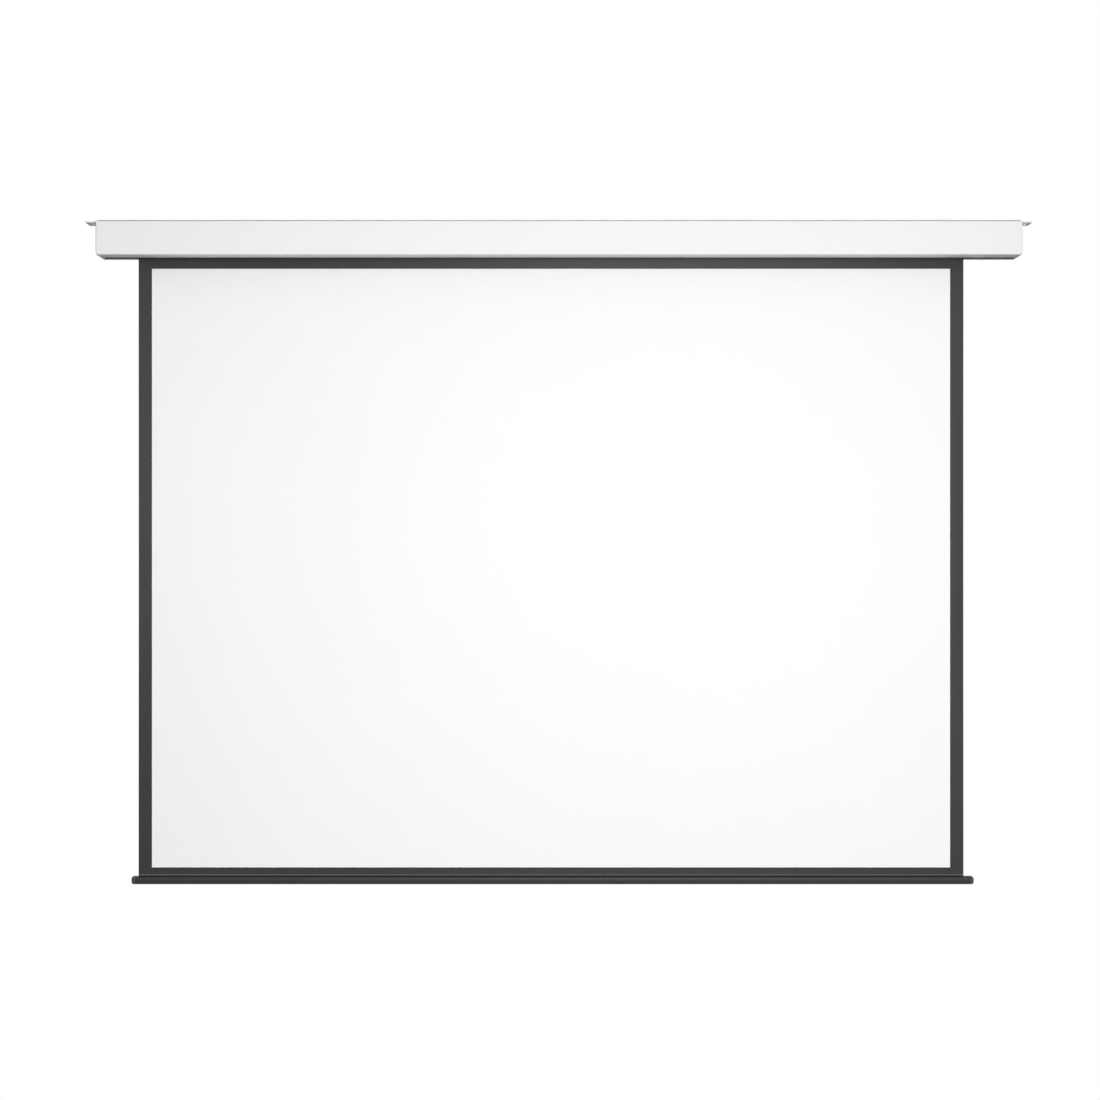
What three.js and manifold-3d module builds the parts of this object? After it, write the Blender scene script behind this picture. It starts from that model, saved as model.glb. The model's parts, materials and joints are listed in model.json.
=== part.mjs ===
// A motorized projection screen, lowered. Millimetres, +Z up, +X to the viewer's right, +Y towards the wall.
// The origin is the middle of the housing's back face, which lies against the wall.
import * as THREE from 'three';
import { mergeVertices } from 'three/addons/utils/BufferGeometryUtils.js';
import Module from 'manifold-3d';

const wasm = await Module();
wasm.setup();

// Gaps and counts that all pieces share
const gap = 0.3; // between faces that turn, slide or fit round each other
const overrun = 1; // how far a cut runs past the face that it opens
const weldDistance = 0.0001;
const roundSteps = 36;
const smallRoundSteps = 14;
const screwSteps = 10;
const cornerSteps = 4;
const hexSides = 6;
const edgeChamfer = 1; // on turned and moulded edges
const blindFloor = 1; // left under a blind hole
const screwEndGap = 1; // between a screw's tip and the floor of its hole

// Screen fabric
const viewingWidth = 2032;
const viewingHeight = 1524;
const sideBorder = 34;
const topBorderShown = 26; // between the housing and the picture
const bottomBorder = 22;
const backingThickness = 0.35;
const faceThickness = 0.25;
const turnsLeftOnTube = 2; // turns that stay wound when the screen is down

// Housing: an extruded box with a slot in its underside and screw ports in its corners
const idlerRoom = 67; // between the idler bracket's plate and the end cap
const motorRoom = 79; // between the motor bracket's plate and the end cap
const housingHeight = 88;
const housingDepth = 90;
const housingWall = 1.8;
const housingCorner = 3.5;
const frontLip = 48;
const rearLip = 12;
const lipReturn = 8;
const portRadius = 4.2;
const portInset = 5; // from the housing's outer faces to a port's axis
const keyholeInset = 265; // from the housing's end to a keyhole
const keyholeHeadRadius = 6;
const keyholeSlotWidth = 6;
const keyholeRise = 14;
const keyholeBelowTop = 40;
const accessSlotWidth = 12;
const accessSlotLength = 34;

// End caps
const capFlange = 6;
const capEdgeRound = 4;
const capTabLength = 12;
const capTabThickness = 2;
const capTabWidth = 50;
const earReach = 30;
const earThickness = 4;
const earWidth = 50;
const earFillet = 8;
const earCorner = 6;
const earSlotWidth = 8;
const earSlotLength = 18;

// Screws
const capScrew = { head: 3.9, headHeight: 2.4, shank: 1.9, length: 16 };
const bracketScrew = { head: 4.2, headHeight: 2.4, shank: 2, length: 6.5 };
const smallScrew = { head: 2.6, headHeight: 1.6, shank: 1.3, length: 8 };
const recessWidth = 0.9; // of the cross in a screw's head
const recessSpanShare = 1.2; // of the head's radius
const recessDepthShare = 0.6; // of the head's height

// Roller
const rollerSetback = 52; // from the wall face to the roller's axis
const rollerRise = 8; // from the housing's middle up to the roller's axis
const rollerRadius = 25;
const rollerWall = 1.5;
const rollerOverhang = 10; // of the tube past the fabric at each end
const rollerFlange = 2;
const rollerPlay = 0.5; // along the axis, at each end

// Idler side
const bracketSheet = 2;
const bracketWidth = 44;
const bracketHeight = 38;
const bracketBend = 2;
const bracketFoot = 12;
const idlerStandOff = 8; // from the tube's flange to the bracket
const idlerPinRadius = 5;
const idlerPinLength = 34;
const idlerPinFlangeRadius = 9;
const idlerPinTailRadius = 4;
const idlerNutRadius = 7.5;
const idlerNutHeight = 5;
const idlerPinTail = 2; // of the pin past its nut
const idlerBushWall = 2.7;
const idlerPlugDepth = 36;

// Motor side
const motorRadius = 17.5;
const motorWall = 1;
const motorLength = 430;
const motorSpigot = 18;
const motorHeadRadius = 22;
const motorHeadLength = 35.5;
const motorHeadFlat = 20; // from the axis down to the flat that holds the adjusting screws
const headScrewSpacing = 26;
const limitSwitchLength = 58;
const capacitorLength = 72;
const capacitorRadius = 14.5;
const statorLength = 118;
const statorShaftRadius = 4;
const statorStepLength = 14;
const packRim = 2; // of the collars that seat a pack in the casing
const brakeLength = 42;
const brakeRadius = 15;
const crownDepth = 25;
const shaftSquare = 10;
const shaftJournalRadius = 5;
const shaftJournalLength = 20;
const shaftTipRadius = 4.5;
const shaftTipLength = 6;
const shaftGrooveRadius = 3.6;
const clipThickness = 1.4;
const clipRadius = 8;
const driveWheelLength = 26;
const driveWheelInset = 2.5; // from the motor's end to the wheel
const wheelSpokeDepth = 8;
const wheelHubRadius = 11;
const wheelRim = 4;
const rivetRadius = 2;
const rivetReach = 6;
const adjusterRadius = 4;
const adjusterDepth = 8;
const adjusterStandOut = 2;
const adjusterSpacing = 16;
const adjusterHexRadius = 2.2;
const adjusterKeyDepth = 6;

// Terminal box, grommet and motor lead
const boxLength = 56;
const boxHeight = 62;
const boxFront = 26; // from the wall face to the lid's front
const boxWall = 2;
const lidThickness = 2;
const lidCorner = 2;
const lidScrewInset = 5;
const lidBossRadius = 3.4;
const boxScrewSpacing = 36;
const terminalBlock = { length: 34, depth: 9, height: 16, ways: 4 };
const terminalScrew = { radius: 2, rise: 4, depth: 3 };
const leadRadius = 3;
const leadHoleRadius = 6; // in the motor bracket
const leadEntryInset = 19; // from the box's left end to where the lead goes in
const leadBend = 18;
const leadSides = 10;
const leadSteps = 24;
const cableHoleRadius = 6;
const cableBoreRadius = 4;
const grommetFlange = 2;
const grommetRim = 1.6;

// Bottom bar
const barHeight = 20;
const barDepth = 22;
const barCorner = 7;
const barOverhang = 21; // past the fabric at each end
const barShift = 4; // the bar sits this far right of the fabric's middle
const barCapLength = 10;
const barCapSpigot = 15;
const barCapRound = 6;
const barTopWall = 2.2;
const chamberWidth = 13;
const chamberHeight = 4.6;
const chamberCorner = 1.5;
const chamberFloor = 1.9;
const hemRodRadius = 2.5;
const hemRise = 3; // of the sewn hem above the bar

// Places worked out from the sizes above
const wallFace = 0;
const housingTop = housingHeight / 2;
const housingBottom = -housingHeight / 2;
const housingFront = -housingDepth;
const innerTop = housingTop - housingWall;
const innerFront = housingFront + housingWall;
const innerBack = wallFace - housingWall;

// The roller's pieces stand in a row between the end caps, and the row is as long as the housing is inside.
const screenWidth = viewingWidth + 2 * sideBorder;
const tubeEnd = rollerOverhang + rollerFlange; // of the tube past the fabric
const leftOfScreen = idlerRoom + bracketSheet + idlerStandOff + tubeEnd;
const rightOfScreen = tubeEnd + rollerPlay + motorHeadLength + bracketSheet + motorRoom;
const capInner = (leftOfScreen + screenWidth + rightOfScreen) / 2;
const capOuter = capInner + capFlange;
const keyholePlace = capOuter - keyholeInset;

const screenLeft = leftOfScreen - capInner;
const screenRight = screenLeft + screenWidth;
const sheetThickness = backingThickness + faceThickness;
const tubeLeft = screenLeft - rollerOverhang;
const tubeRight = screenRight + rollerOverhang;
const tubeBore = rollerRadius - rollerWall;
const rollInner = rollerRadius + gap;
const rollOuter = rollInner + turnsLeftOnTube * sheetThickness;
const rollerAxis = new THREE.Vector3(0, wallFace - rollerSetback, rollerRise);
const fabricFront = rollerAxis.y + rollOuter + gap;
const fabricSeam = fabricFront + faceThickness;
const fabricBack = fabricSeam + backingThickness;
const fabricMiddle = (fabricFront + fabricBack) / 2;

const pictureTop = housingBottom - topBorderShown;
const pictureBottom = pictureTop - viewingHeight;
const barTop = pictureBottom - bottomBorder;
const barBottom = barTop - barHeight;

const plugFace = tubeLeft - rollerFlange;
const idlerPlate = plugFace - idlerStandOff; // face of the idler bracket that the pin's flange rests on
const headLeft = tubeRight + rollerFlange + rollerPlay;
const headRight = headLeft + motorHeadLength;
const headMiddle = (headLeft + headRight) / 2;
const motorEnd = headLeft - motorLength;
const portPlaces = [housingFront + portInset, wallFace - portInset].flatMap((y) =>
  [housingBottom + portInset, housingTop - portInset].map((z) => ({ y, z })));

// Places in the roller's own frame, whose X axis is the roller's axis
const footUpper = bracketHeight / 2;
const footScrewRise = footUpper + (bracketFoot + bracketSheet) / 2;

// Shape tools

// A closed geometry as a solid that can be joined and cut, and back again
function solid(geometry) {
  geometry.deleteAttribute('normal');
  geometry.deleteAttribute('uv');
  const merged = mergeVertices(geometry, weldDistance);
  const corners = [];
  for (let i = 0; i < merged.index.count; i += 3) {
    const [a, b, c] = merged.index.array.slice(i, i + 3);
    if (a !== b && b !== c && c !== a) corners.push(a, b, c);
  }
  const vertProperties = new Float32Array(merged.attributes.position.array);
  const triVerts = new Uint32Array(corners);
  return new wasm.Manifold(new wasm.Mesh({ numProp: 3, vertProperties, triVerts }));
}

function geometryOf(made) {
  const { vertProperties, triVerts } = made.getMesh();
  const geometry = new THREE.BufferGeometry();
  geometry.setAttribute('position', new THREE.BufferAttribute(new Float32Array(vertProperties), 3));
  return geometry.setIndex(Array.from(triVerts));
}

function mirrored(made) {
  const geometry = geometryOf(made);
  return solid(geometry.setIndex(Array.from(geometry.index.array).reverse()).scale(-1, 1, 1));
}

function joined(...solids) {
  return solids.reduce((whole, next) => whole.add(next));
}

function cut(whole, ...tools) {
  return tools.reduce((left, tool) => left.subtract(tool), whole);
}

function arc(u, v, radius, from, to, steps = cornerSteps) {
  return Array.from({ length: steps + 1 }, (_, i) => {
    const angle = from + ((to - from) * i) / steps;
    return new THREE.Vector2(u + radius * Math.cos(angle), v + radius * Math.sin(angle));
  });
}

function circle(u, v, radius, steps = roundSteps) {
  return new THREE.Shape(arc(u, v, radius, 0, Math.PI * 2, steps).slice(0, steps));
}

function ring(outer, inner, steps = roundSteps) {
  const outline = circle(0, 0, outer, steps);
  outline.holes.push(circle(0, 0, inner, steps));
  return outline;
}

function rectangle(uMin, vMin, uMax, vMax) {
  const corners = [[uMin, vMin], [uMax, vMin], [uMax, vMax], [uMin, vMax]];
  return new THREE.Shape(corners.map(([u, v]) => new THREE.Vector2(u, v)));
}

function roundedRectangle(uMin, vMin, uMax, vMax, radius) {
  const quarter = Math.PI / 2;
  return new THREE.Shape([
    ...arc(uMax - radius, vMin + radius, radius, -quarter, 0),
    ...arc(uMax - radius, vMax - radius, radius, 0, quarter),
    ...arc(uMin + radius, vMax - radius, radius, quarter, 2 * quarter),
    ...arc(uMin + radius, vMin + radius, radius, 2 * quarter, 3 * quarter),
  ]);
}

// The outline of a sheet of one thickness that follows a path through its middle, with its bends rounded.
function foldedSheet(path, thickness, insideRadius) {
  const points = path.map(([u, v]) => new THREE.Vector2(u, v));
  const left = [];
  const right = [];
  const station = (point, normal) => {
    left.unshift(point.clone().addScaledVector(normal, thickness / 2));
    right.push(point.clone().addScaledVector(normal, -thickness / 2));
  };
  const direction = (i) => points[i + 1].clone().sub(points[i]).normalize();
  const leftOf = (d) => new THREE.Vector2(-d.y, d.x);
  station(points[0], leftOf(direction(0)));
  for (let i = 1; i < points.length - 1; i += 1) {
    const before = direction(i - 1);
    const after = direction(i);
    const turn = Math.atan2(before.cross(after), before.dot(after));
    const radius = insideRadius + thickness / 2;
    const start = points[i].clone().addScaledVector(before, -radius * Math.tan(Math.abs(turn) / 2));
    const centre = start.clone().addScaledVector(leftOf(before), Math.sign(turn) * radius);
    for (let step = 0; step <= cornerSteps; step += 1) {
      const normal = leftOf(before).rotateAround(new THREE.Vector2(), (turn * step) / cornerSteps);
      station(centre.clone().addScaledVector(normal, -Math.sign(turn) * radius), normal);
    }
  }
  station(points.at(-1), leftOf(direction(points.length - 2)));
  return new THREE.Shape([...right, ...left]);
}

// Each axis's extrusion takes an outline drawn in the two other axes, in X, Y, Z order.
const unitX = new THREE.Vector3(1, 0, 0);
const unitY = new THREE.Vector3(0, 1, 0);
const unitZ = new THREE.Vector3(0, 0, 1);

const layOnX = new THREE.Matrix4().makeBasis(unitY, unitZ, unitX);
const layOnY = new THREE.Matrix4().makeBasis(unitX, unitZ, unitY.clone().negate());

function extruded(outline, length) {
  return new THREE.ExtrudeGeometry(outline, { depth: length, bevelEnabled: false });
}

function alongX(outline, from, to) {
  return solid(extruded(outline, to - from).applyMatrix4(layOnX).translate(from, 0, 0));
}

function alongY(outline, from, to) {
  return solid(extruded(outline, to - from).applyMatrix4(layOnY).translate(0, to, 0));
}

function alongZ(outline, from, to) {
  return solid(extruded(outline, to - from).translate(0, 0, from));
}

function block(low, high) {
  const size = new THREE.Vector3(...high).sub(new THREE.Vector3(...low));
  const middle = new THREE.Vector3(...high).add(new THREE.Vector3(...low)).divideScalar(2);
  return solid(new THREE.BoxGeometry(size.x, size.y, size.z).translate(middle.x, middle.y, middle.z));
}

// A body along X that ends rounded at to, from an outline drawn radius inside its sides.
// Its other end is rounded too, beyond from, and is cut off by the caller.
function roundedBlock(outline, from, to, radius) {
  const bevel = { bevelThickness: radius, bevelSize: radius, bevelSegments: cornerSteps };
  const made = new THREE.ExtrudeGeometry(outline, { depth: to - from, ...bevel });
  return solid(made.applyMatrix4(layOnX).translate(from - radius, 0, 0));
}

// A body turned about the X axis from a profile of [x, radius] points that starts and ends on the axis.
function turned(profile, steps = roundSteps) {
  const points = profile.map(([x, radius]) => new THREE.Vector2(radius, x));
  return solid(new THREE.LatheGeometry(points, steps).rotateZ(-Math.PI / 2));
}

function tube(from, to, outer, inner, steps = roundSteps) {
  return alongX(ring(outer, inner, steps), from, to);
}

function rod(from, to, radius, steps = roundSteps) {
  return alongX(circle(0, 0, radius, steps), from, to);
}

function rodAt(y, z, from, to, radius) {
  return alongX(circle(y, z, radius, smallRoundSteps), from, to);
}

// The finished group and its finishes

const finish = (color, roughness, metalness = 0) => ({ color, roughness, metalness });
const whitePaint = finish(0xf0f1f2, 0.42);
const zincSteel = finish(0xb4b7ba, 0.38, 0.9);
const tubeAluminium = finish(0xc4c7ca, 0.34, 0.9);
const blackPlastic = finish(0x1d1e20, 0.55);
const greyPlastic = finish(0x8d9195, 0.55);
const whiteNylon = finish(0xe6e4dc, 0.5);
const motorSteel = finish(0x9da1a5, 0.4, 0.85);
const copper = finish(0xb0703a, 0.45, 0.8);
const whiteScreen = finish(0xf4f5f6, 0.85);
const blackScreen = finish(0x3a3a3c, 0.9);
const blackBar = finish(0x3d3d40, 0.5, 0.3);
const rubber = finish(0x232326, 0.75);
const signalYellow = finish(0xd8b23a, 0.5);
const signalRed = finish(0xb8453c, 0.5);

const screen = new THREE.Group();
const rollerFrame = new THREE.Group();
rollerFrame.position.copy(rollerAxis);
screen.add(rollerFrame);

function add(group, name, made, look, place = [0, 0, 0], turn = [0, 0, 0]) {
  const geometry = geometryOf(made);
  geometry.computeVertexNormals();
  const mesh = new THREE.Mesh(geometry, new THREE.MeshStandardMaterial(look));
  mesh.name = name;
  mesh.position.set(...place);
  mesh.rotation.set(...turn);
  group.add(mesh);
}

// Turns that aim a screw, which is made with its head at X = 0 and its shank along +X
const aim = { right: [0, 0, 0], left: [0, Math.PI, 0], back: [0, 0, Math.PI / 2] };

function screw({ head, headHeight, shank, length }) {
  const reach = (head * recessSpanShare) / 2;
  const body = turned([[-headHeight, 0], [-headHeight, reach], [-headHeight / 2, head],
    [0, head], [0, shank], [length - shank, shank], [length, 0]], screwSteps);
  const top = -headHeight - overrun;
  const bottom = -headHeight + headHeight * recessDepthShare;
  const half = recessWidth / 2;
  const across = block([top, -reach, -half], [bottom, reach, half]);
  const upright = block([top, -half, -reach], [bottom, half, reach]);
  return cut(body, across, upright);
}

// Housing

function housingShell() {
  const half = housingWall / 2;
  const bendInside = housingCorner - housingWall;
  const front = housingFront + half;
  const back = wallFace - half;
  const low = housingBottom + half;
  const high = housingTop - half;
  const slotFront = housingFront + frontLip - half;
  const slotBack = wallFace - rearLip + half;
  const lipTop = housingBottom + lipReturn;
  const section = foldedSheet([[slotFront, lipTop], [slotFront, low], [front, low], [front, high],
    [back, high], [back, low], [slotBack, low], [slotBack, lipTop]], housingWall, bendInside);
  const ends = [-capInner, capInner];
  let shell = alongX(section, ...ends);
  for (const { y, z } of portPlaces) shell = shell.add(rodAt(y, z, ...ends, portRadius));
  for (const { y, z } of portPlaces) {
    shell = shell.subtract(rodAt(y, z, -capInner - overrun, capInner + overrun, capScrew.shank + gap));
  }
  return cut(shell, keyhole(-keyholePlace), keyhole(keyholePlace), limitAccessSlot());
}

// A hole for a screw's head with a narrower slot above it, through the housing's back
function keyhole(x) {
  const low = housingTop - keyholeBelowTop;
  const span = [innerBack - overrun, wallFace + overrun];
  const head = circle(x, low, keyholeHeadRadius, smallRoundSteps);
  const slot = rectangle(x - keyholeSlotWidth / 2, low, x + keyholeSlotWidth / 2, low + keyholeRise);
  const end = circle(x, low + keyholeRise, keyholeSlotWidth / 2, smallRoundSteps);
  return joined(alongY(head, ...span), alongY(slot, ...span), alongY(end, ...span));
}

// A slot in the front lip, under the motor head, for the key that turns the limit adjusting screws
function limitAccessSlot() {
  const outline = roundedRectangle(headMiddle - accessSlotLength / 2, rollerAxis.y - accessSlotWidth / 2,
    headMiddle + accessSlotLength / 2, rollerAxis.y + accessSlotWidth / 2, accessSlotWidth / 2);
  return alongZ(outline, housingBottom - overrun, housingBottom + housingWall + overrun);
}

// End caps. Each is drawn for the right end, and the left one is its mirror image.

function capFlangeBody() {
  const outline = roundedRectangle(housingFront + capEdgeRound, housingBottom + capEdgeRound,
    wallFace - capEdgeRound, housingTop - capEdgeRound, housingCorner);
  const rounded = roundedBlock(outline, capOuter - capFlange, capOuter, capEdgeRound);
  const behind = [housingFront - overrun, housingBottom - overrun];
  const beyond = [wallFace + overrun, housingTop + overrun];
  return rounded.subtract(block([capInner - capFlange - capEdgeRound, ...behind], [capInner, ...beyond]));
}

function earBody() {
  const quarter = Math.PI / 2;
  const under = housingTop - earThickness;
  const root = capOuter - capFlange / 2;
  const side = new THREE.Shape([
    new THREE.Vector2(root, housingTop), new THREE.Vector2(root, under - earFillet),
    new THREE.Vector2(capOuter, under - earFillet),
    ...arc(capOuter + earFillet, under - earFillet, earFillet, 2 * quarter, quarter),
    new THREE.Vector2(capOuter + earReach, under), new THREE.Vector2(capOuter + earReach, housingTop),
  ].reverse());
  const middle = -housingDepth / 2;
  const sides = [middle - earWidth / 2, middle + earWidth / 2];
  const plan = roundedRectangle(root - earCorner, sides[0], capOuter + earReach, sides[1], earCorner);
  const high = housingTop + overrun;
  const slotMiddle = capOuter + (earReach + earFillet) / 2;
  const slot = roundedRectangle(slotMiddle - earSlotWidth / 2, middle - earSlotLength / 2,
    slotMiddle + earSlotWidth / 2, middle + earSlotLength / 2, earSlotWidth / 2);
  const body = alongY(side, ...sides);
  const low = under - earFillet - overrun;
  return cut(body.intersect(alongZ(plan, low, high)), alongZ(slot, low, high));
}

function endCap(innerHoles) {
  const tabInner = capInner - capTabLength;
  const into = capInner + capFlange / 2;
  const half = capTabWidth / 2;
  const middle = -housingDepth / 2;
  const tabTop = innerTop - gap;
  const tabFront = innerFront + gap;
  const tabBack = innerBack - gap;
  const topTab = block([tabInner, middle - half, tabTop - capTabThickness], [into, middle + half, tabTop]);
  const frontTab = block([tabInner, tabFront, -half], [into, tabFront + capTabThickness, half]);
  const backTab = block([tabInner, tabBack - capTabThickness, -half], [into, tabBack, half]);
  let cap = joined(capFlangeBody(), earBody(), topTab, frontTab, backTab);
  for (const { y, z } of portPlaces) {
    cap = cut(cap, rodAt(y, z, capInner - overrun, capOuter + overrun, capScrew.shank + gap),
      rodAt(y, z, capOuter - capScrew.headHeight - gap, capOuter + overrun, capScrew.head + gap));
  }
  for (const { y, z, radius, depth } of innerHoles) {
    cap = cap.subtract(rodAt(y, z, capInner - overrun, capInner + depth, radius));
  }
  return cap;
}

const blindDepth = capFlange - blindFloor;
const bracketScrewHole = { y: rollerAxis.y, radius: bracketScrew.shank + gap, depth: blindDepth };
const bracketHoles = [-1, 1].map((side) => {
  const z = rollerAxis.z + side * footScrewRise;
  return { ...bracketScrewHole, z };
});
const boxMiddle = 0;
const boxBack = housingWall + capTabThickness + 2 * gap; // from the wall face, past the cap's rear tab
const boxAcross = -(boxFront + boxBack) / 2;
const boxScrewHole = { y: boxAcross, radius: smallScrew.shank + gap, depth: blindDepth };
const boxHoles = [-1, 1].map((side) => ({ ...boxScrewHole, z: boxMiddle + (side * boxScrewSpacing) / 2 }));
const cableHole = { y: boxAcross, z: boxMiddle, radius: cableHoleRadius, depth: capFlange + overrun };

add(screen, 'housing_shell', housingShell(), whitePaint);
add(screen, 'left_end_cap', mirrored(endCap(bracketHoles)), whitePaint);
add(screen, 'right_end_cap', endCap([...bracketHoles, ...boxHoles, cableHole]), whitePaint);
portPlaces.forEach(({ y, z }, i) => {
  const seat = capOuter - capScrew.headHeight - gap;
  add(screen, `left_cap_screw_${i + 1}`, screw(capScrew), zincSteel, [-seat, y, z], aim.right);
  add(screen, `right_cap_screw_${i + 1}`, screw(capScrew), zincSteel, [seat, y, z], aim.left);
});

// Brackets: a sheet steel hat that stands on the end cap's inside and carries one end of the roller.
// It is drawn in the roller's frame for the right end. Its plate's face towards the roller is at plateFace.

function hatBracket(plateFace, plateHoles) {
  const half = bracketSheet / 2;
  const foot = capInner - half;
  const plate = plateFace + half;
  const leg = footUpper;
  const toe = leg + bracketFoot;
  const path = [[foot, -toe], [foot, -leg], [plate, -leg], [plate, leg], [foot, leg], [foot, toe]];
  const section = foldedSheet(path, bracketSheet, bracketBend);
  let bracket = alongY(section, -bracketWidth / 2, bracketWidth / 2);
  for (const z of [-footScrewRise, footScrewRise]) {
    const bore = bracketScrew.shank + gap;
    bracket = bracket.subtract(rodAt(0, z, foot - bracketSheet, foot + bracketSheet, bore));
  }
  for (const { y, radius } of plateHoles) {
    bracket = bracket.subtract(rodAt(y, 0, plateFace - overrun, plateFace + bracketSheet + overrun, radius));
  }
  return bracket;
}

function bracketScrews(name, side) {
  const seat = side * (capInner - bracketSheet);
  const turn = side > 0 ? aim.right : aim.left;
  add(rollerFrame, `${name}_screw_upper`, screw(bracketScrew), zincSteel, [seat, 0, footScrewRise], turn);
  add(rollerFrame, `${name}_screw_lower`, screw(bracketScrew), zincSteel, [seat, 0, -footScrewRise], turn);
}

// Idler side

const pinHole = { y: 0, radius: idlerPinTailRadius + gap };
add(rollerFrame, 'idler_bracket', mirrored(hatBracket(-idlerPlate, [pinHole])), zincSteel);
bracketScrews('idler_bracket', -1);

const pinFlangeFace = plugFace - rollerPlay;
const nutFace = idlerPlate - bracketSheet;
const pinTail = nutFace - idlerNutHeight - idlerPinTail;
const pinTip = pinFlangeFace + idlerPinLength;
const pinProfile = [[pinTail, 0], [pinTail, idlerPinTailRadius], [idlerPlate, idlerPinTailRadius],
  [idlerPlate, idlerPinFlangeRadius], [pinFlangeFace, idlerPinFlangeRadius], [pinFlangeFace, idlerPinRadius],
  [pinTip - edgeChamfer, idlerPinRadius], [pinTip, idlerPinRadius - edgeChamfer], [pinTip, 0]];
add(rollerFrame, 'idler_pin', turned(pinProfile), zincSteel);

const nutOutline = circle(0, 0, idlerNutRadius, hexSides);
nutOutline.holes.push(circle(0, 0, idlerPinTailRadius + gap, smallRoundSteps));
add(rollerFrame, 'idler_pin_nut', alongX(nutOutline, nutFace - idlerNutHeight, nutFace), zincSteel);

const bushBore = idlerPinRadius + gap;
const bushOuter = bushBore + idlerBushWall;
const bushEnd = plugFace + idlerPlugDepth;
add(rollerFrame, 'idler_bush', tube(plugFace, bushEnd, bushOuter, bushBore), whiteNylon);

const plugBody = tubeBore - gap;
add(rollerFrame, 'idler_plug', cut(
  turned([[plugFace, 0], [plugFace, rollerRadius], [tubeLeft, rollerRadius], [tubeLeft, plugBody],
    [bushEnd, plugBody], [bushEnd, 0]]),
  rod(plugFace - overrun, bushEnd + overrun, bushOuter + gap)), blackPlastic);

// Roller tube, the turns that stay on it, and what drives it

const wheelRight = motorEnd - driveWheelInset;
const wheelLeft = wheelRight - driveWheelLength;
const rivetPlace = (wheelLeft + wheelRight) / 2;

function rivetHole(side, radius) {
  const outline = circle(rivetPlace, 0, radius, smallRoundSteps);
  const hole = alongZ(outline, rollerRadius - rivetReach - gap, rollerRadius + overrun);
  return side > 0 ? hole : solid(geometryOf(hole).rotateX(Math.PI));
}

const rivetHoles = [-1, 1].map((side) => rivetHole(side, rivetRadius + gap));
const plainTube = tube(tubeLeft, tubeRight, rollerRadius, tubeBore);
add(rollerFrame, 'roller_tube', cut(plainTube, ...rivetHoles), tubeAluminium);
add(rollerFrame, 'fabric_roll', tube(screenLeft, screenRight, rollOuter, rollInner), blackScreen);

function driveWheel() {
  const outer = tubeBore - gap;
  const half = shaftSquare / 2 + gap;
  const body = rod(wheelLeft, wheelRight, outer);
  const bore = block([wheelLeft - overrun, -half, -half], [wheelRight + overrun, half, half]);
  const recess = tube(wheelLeft - overrun, wheelLeft + wheelSpokeDepth, outer - wheelRim, wheelHubRadius);
  return cut(body, bore, recess, ...rivetHoles);
}

add(rollerFrame, 'drive_wheel', driveWheel(), blackPlastic);
const rivet = alongZ(circle(0, 0, rivetRadius, smallRoundSteps), rollerRadius - rivetReach, rollerRadius);
add(rollerFrame, 'tube_rivet_upper', rivet, zincSteel, [rivetPlace, 0, 0]);
add(rollerFrame, 'tube_rivet_lower', rivet, zincSteel, [rivetPlace, 0, 0], [Math.PI, 0, 0]);

const shaftTip = wheelLeft - shaftTipLength;
const clipRight = wheelLeft - gap;
const clipLeft = clipRight - clipThickness;

function outputShaft() {
  const half = shaftSquare / 2;
  const square = block([wheelLeft, -half, -half], [motorEnd - gap, half, half]);
  const grooveLeft = clipLeft - gap;
  const tip = turned([[shaftTip, 0], [shaftTip, shaftTipRadius], [grooveLeft, shaftTipRadius],
    [grooveLeft, shaftGrooveRadius], [wheelRight, shaftGrooveRadius], [wheelRight, 0]], smallRoundSteps);
  const journal = rod(wheelRight, motorEnd + shaftJournalLength, shaftJournalRadius - gap, smallRoundSteps);
  return joined(square, tip, journal);
}

function shaftClip() {
  const whole = tube(clipLeft, clipRight, clipRadius, shaftGrooveRadius + gap, smallRoundSteps);
  const mouth = block([clipLeft - overrun, -shaftGrooveRadius, 0],
    [clipRight + overrun, shaftGrooveRadius, clipRadius + overrun]);
  return whole.subtract(mouth);
}

add(rollerFrame, 'output_shaft', outputShaft(), motorSteel);
add(rollerFrame, 'shaft_clip', shaftClip(), zincSteel);

const crownOuter = tubeBore - gap;
const crownBore = motorRadius + gap;
add(rollerFrame, 'limit_crown', cut(
  turned([[tubeRight - crownDepth, 0], [tubeRight - crownDepth, crownOuter], [tubeRight, crownOuter],
    [tubeRight, rollerRadius], [tubeRight + rollerFlange, rollerRadius], [tubeRight + rollerFlange, 0]]),
  rod(tubeRight - crownDepth - overrun, tubeRight + rollerFlange + overrun, crownBore)), blackPlastic);

// Tubular motor: its casing and what stands in a row inside it, from the head leftwards

const motorBore = motorRadius - motorWall;
const packRadius = motorBore - gap;
const headScrewBore = bracketScrew.shank + gap;
const headHoles = [-1, 1].map((side) => ({ y: (side * headScrewSpacing) / 2, radius: headScrewBore }));
add(rollerFrame, 'motor_casing', tube(motorEnd, headLeft, motorRadius, motorBore), motorSteel);

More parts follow.
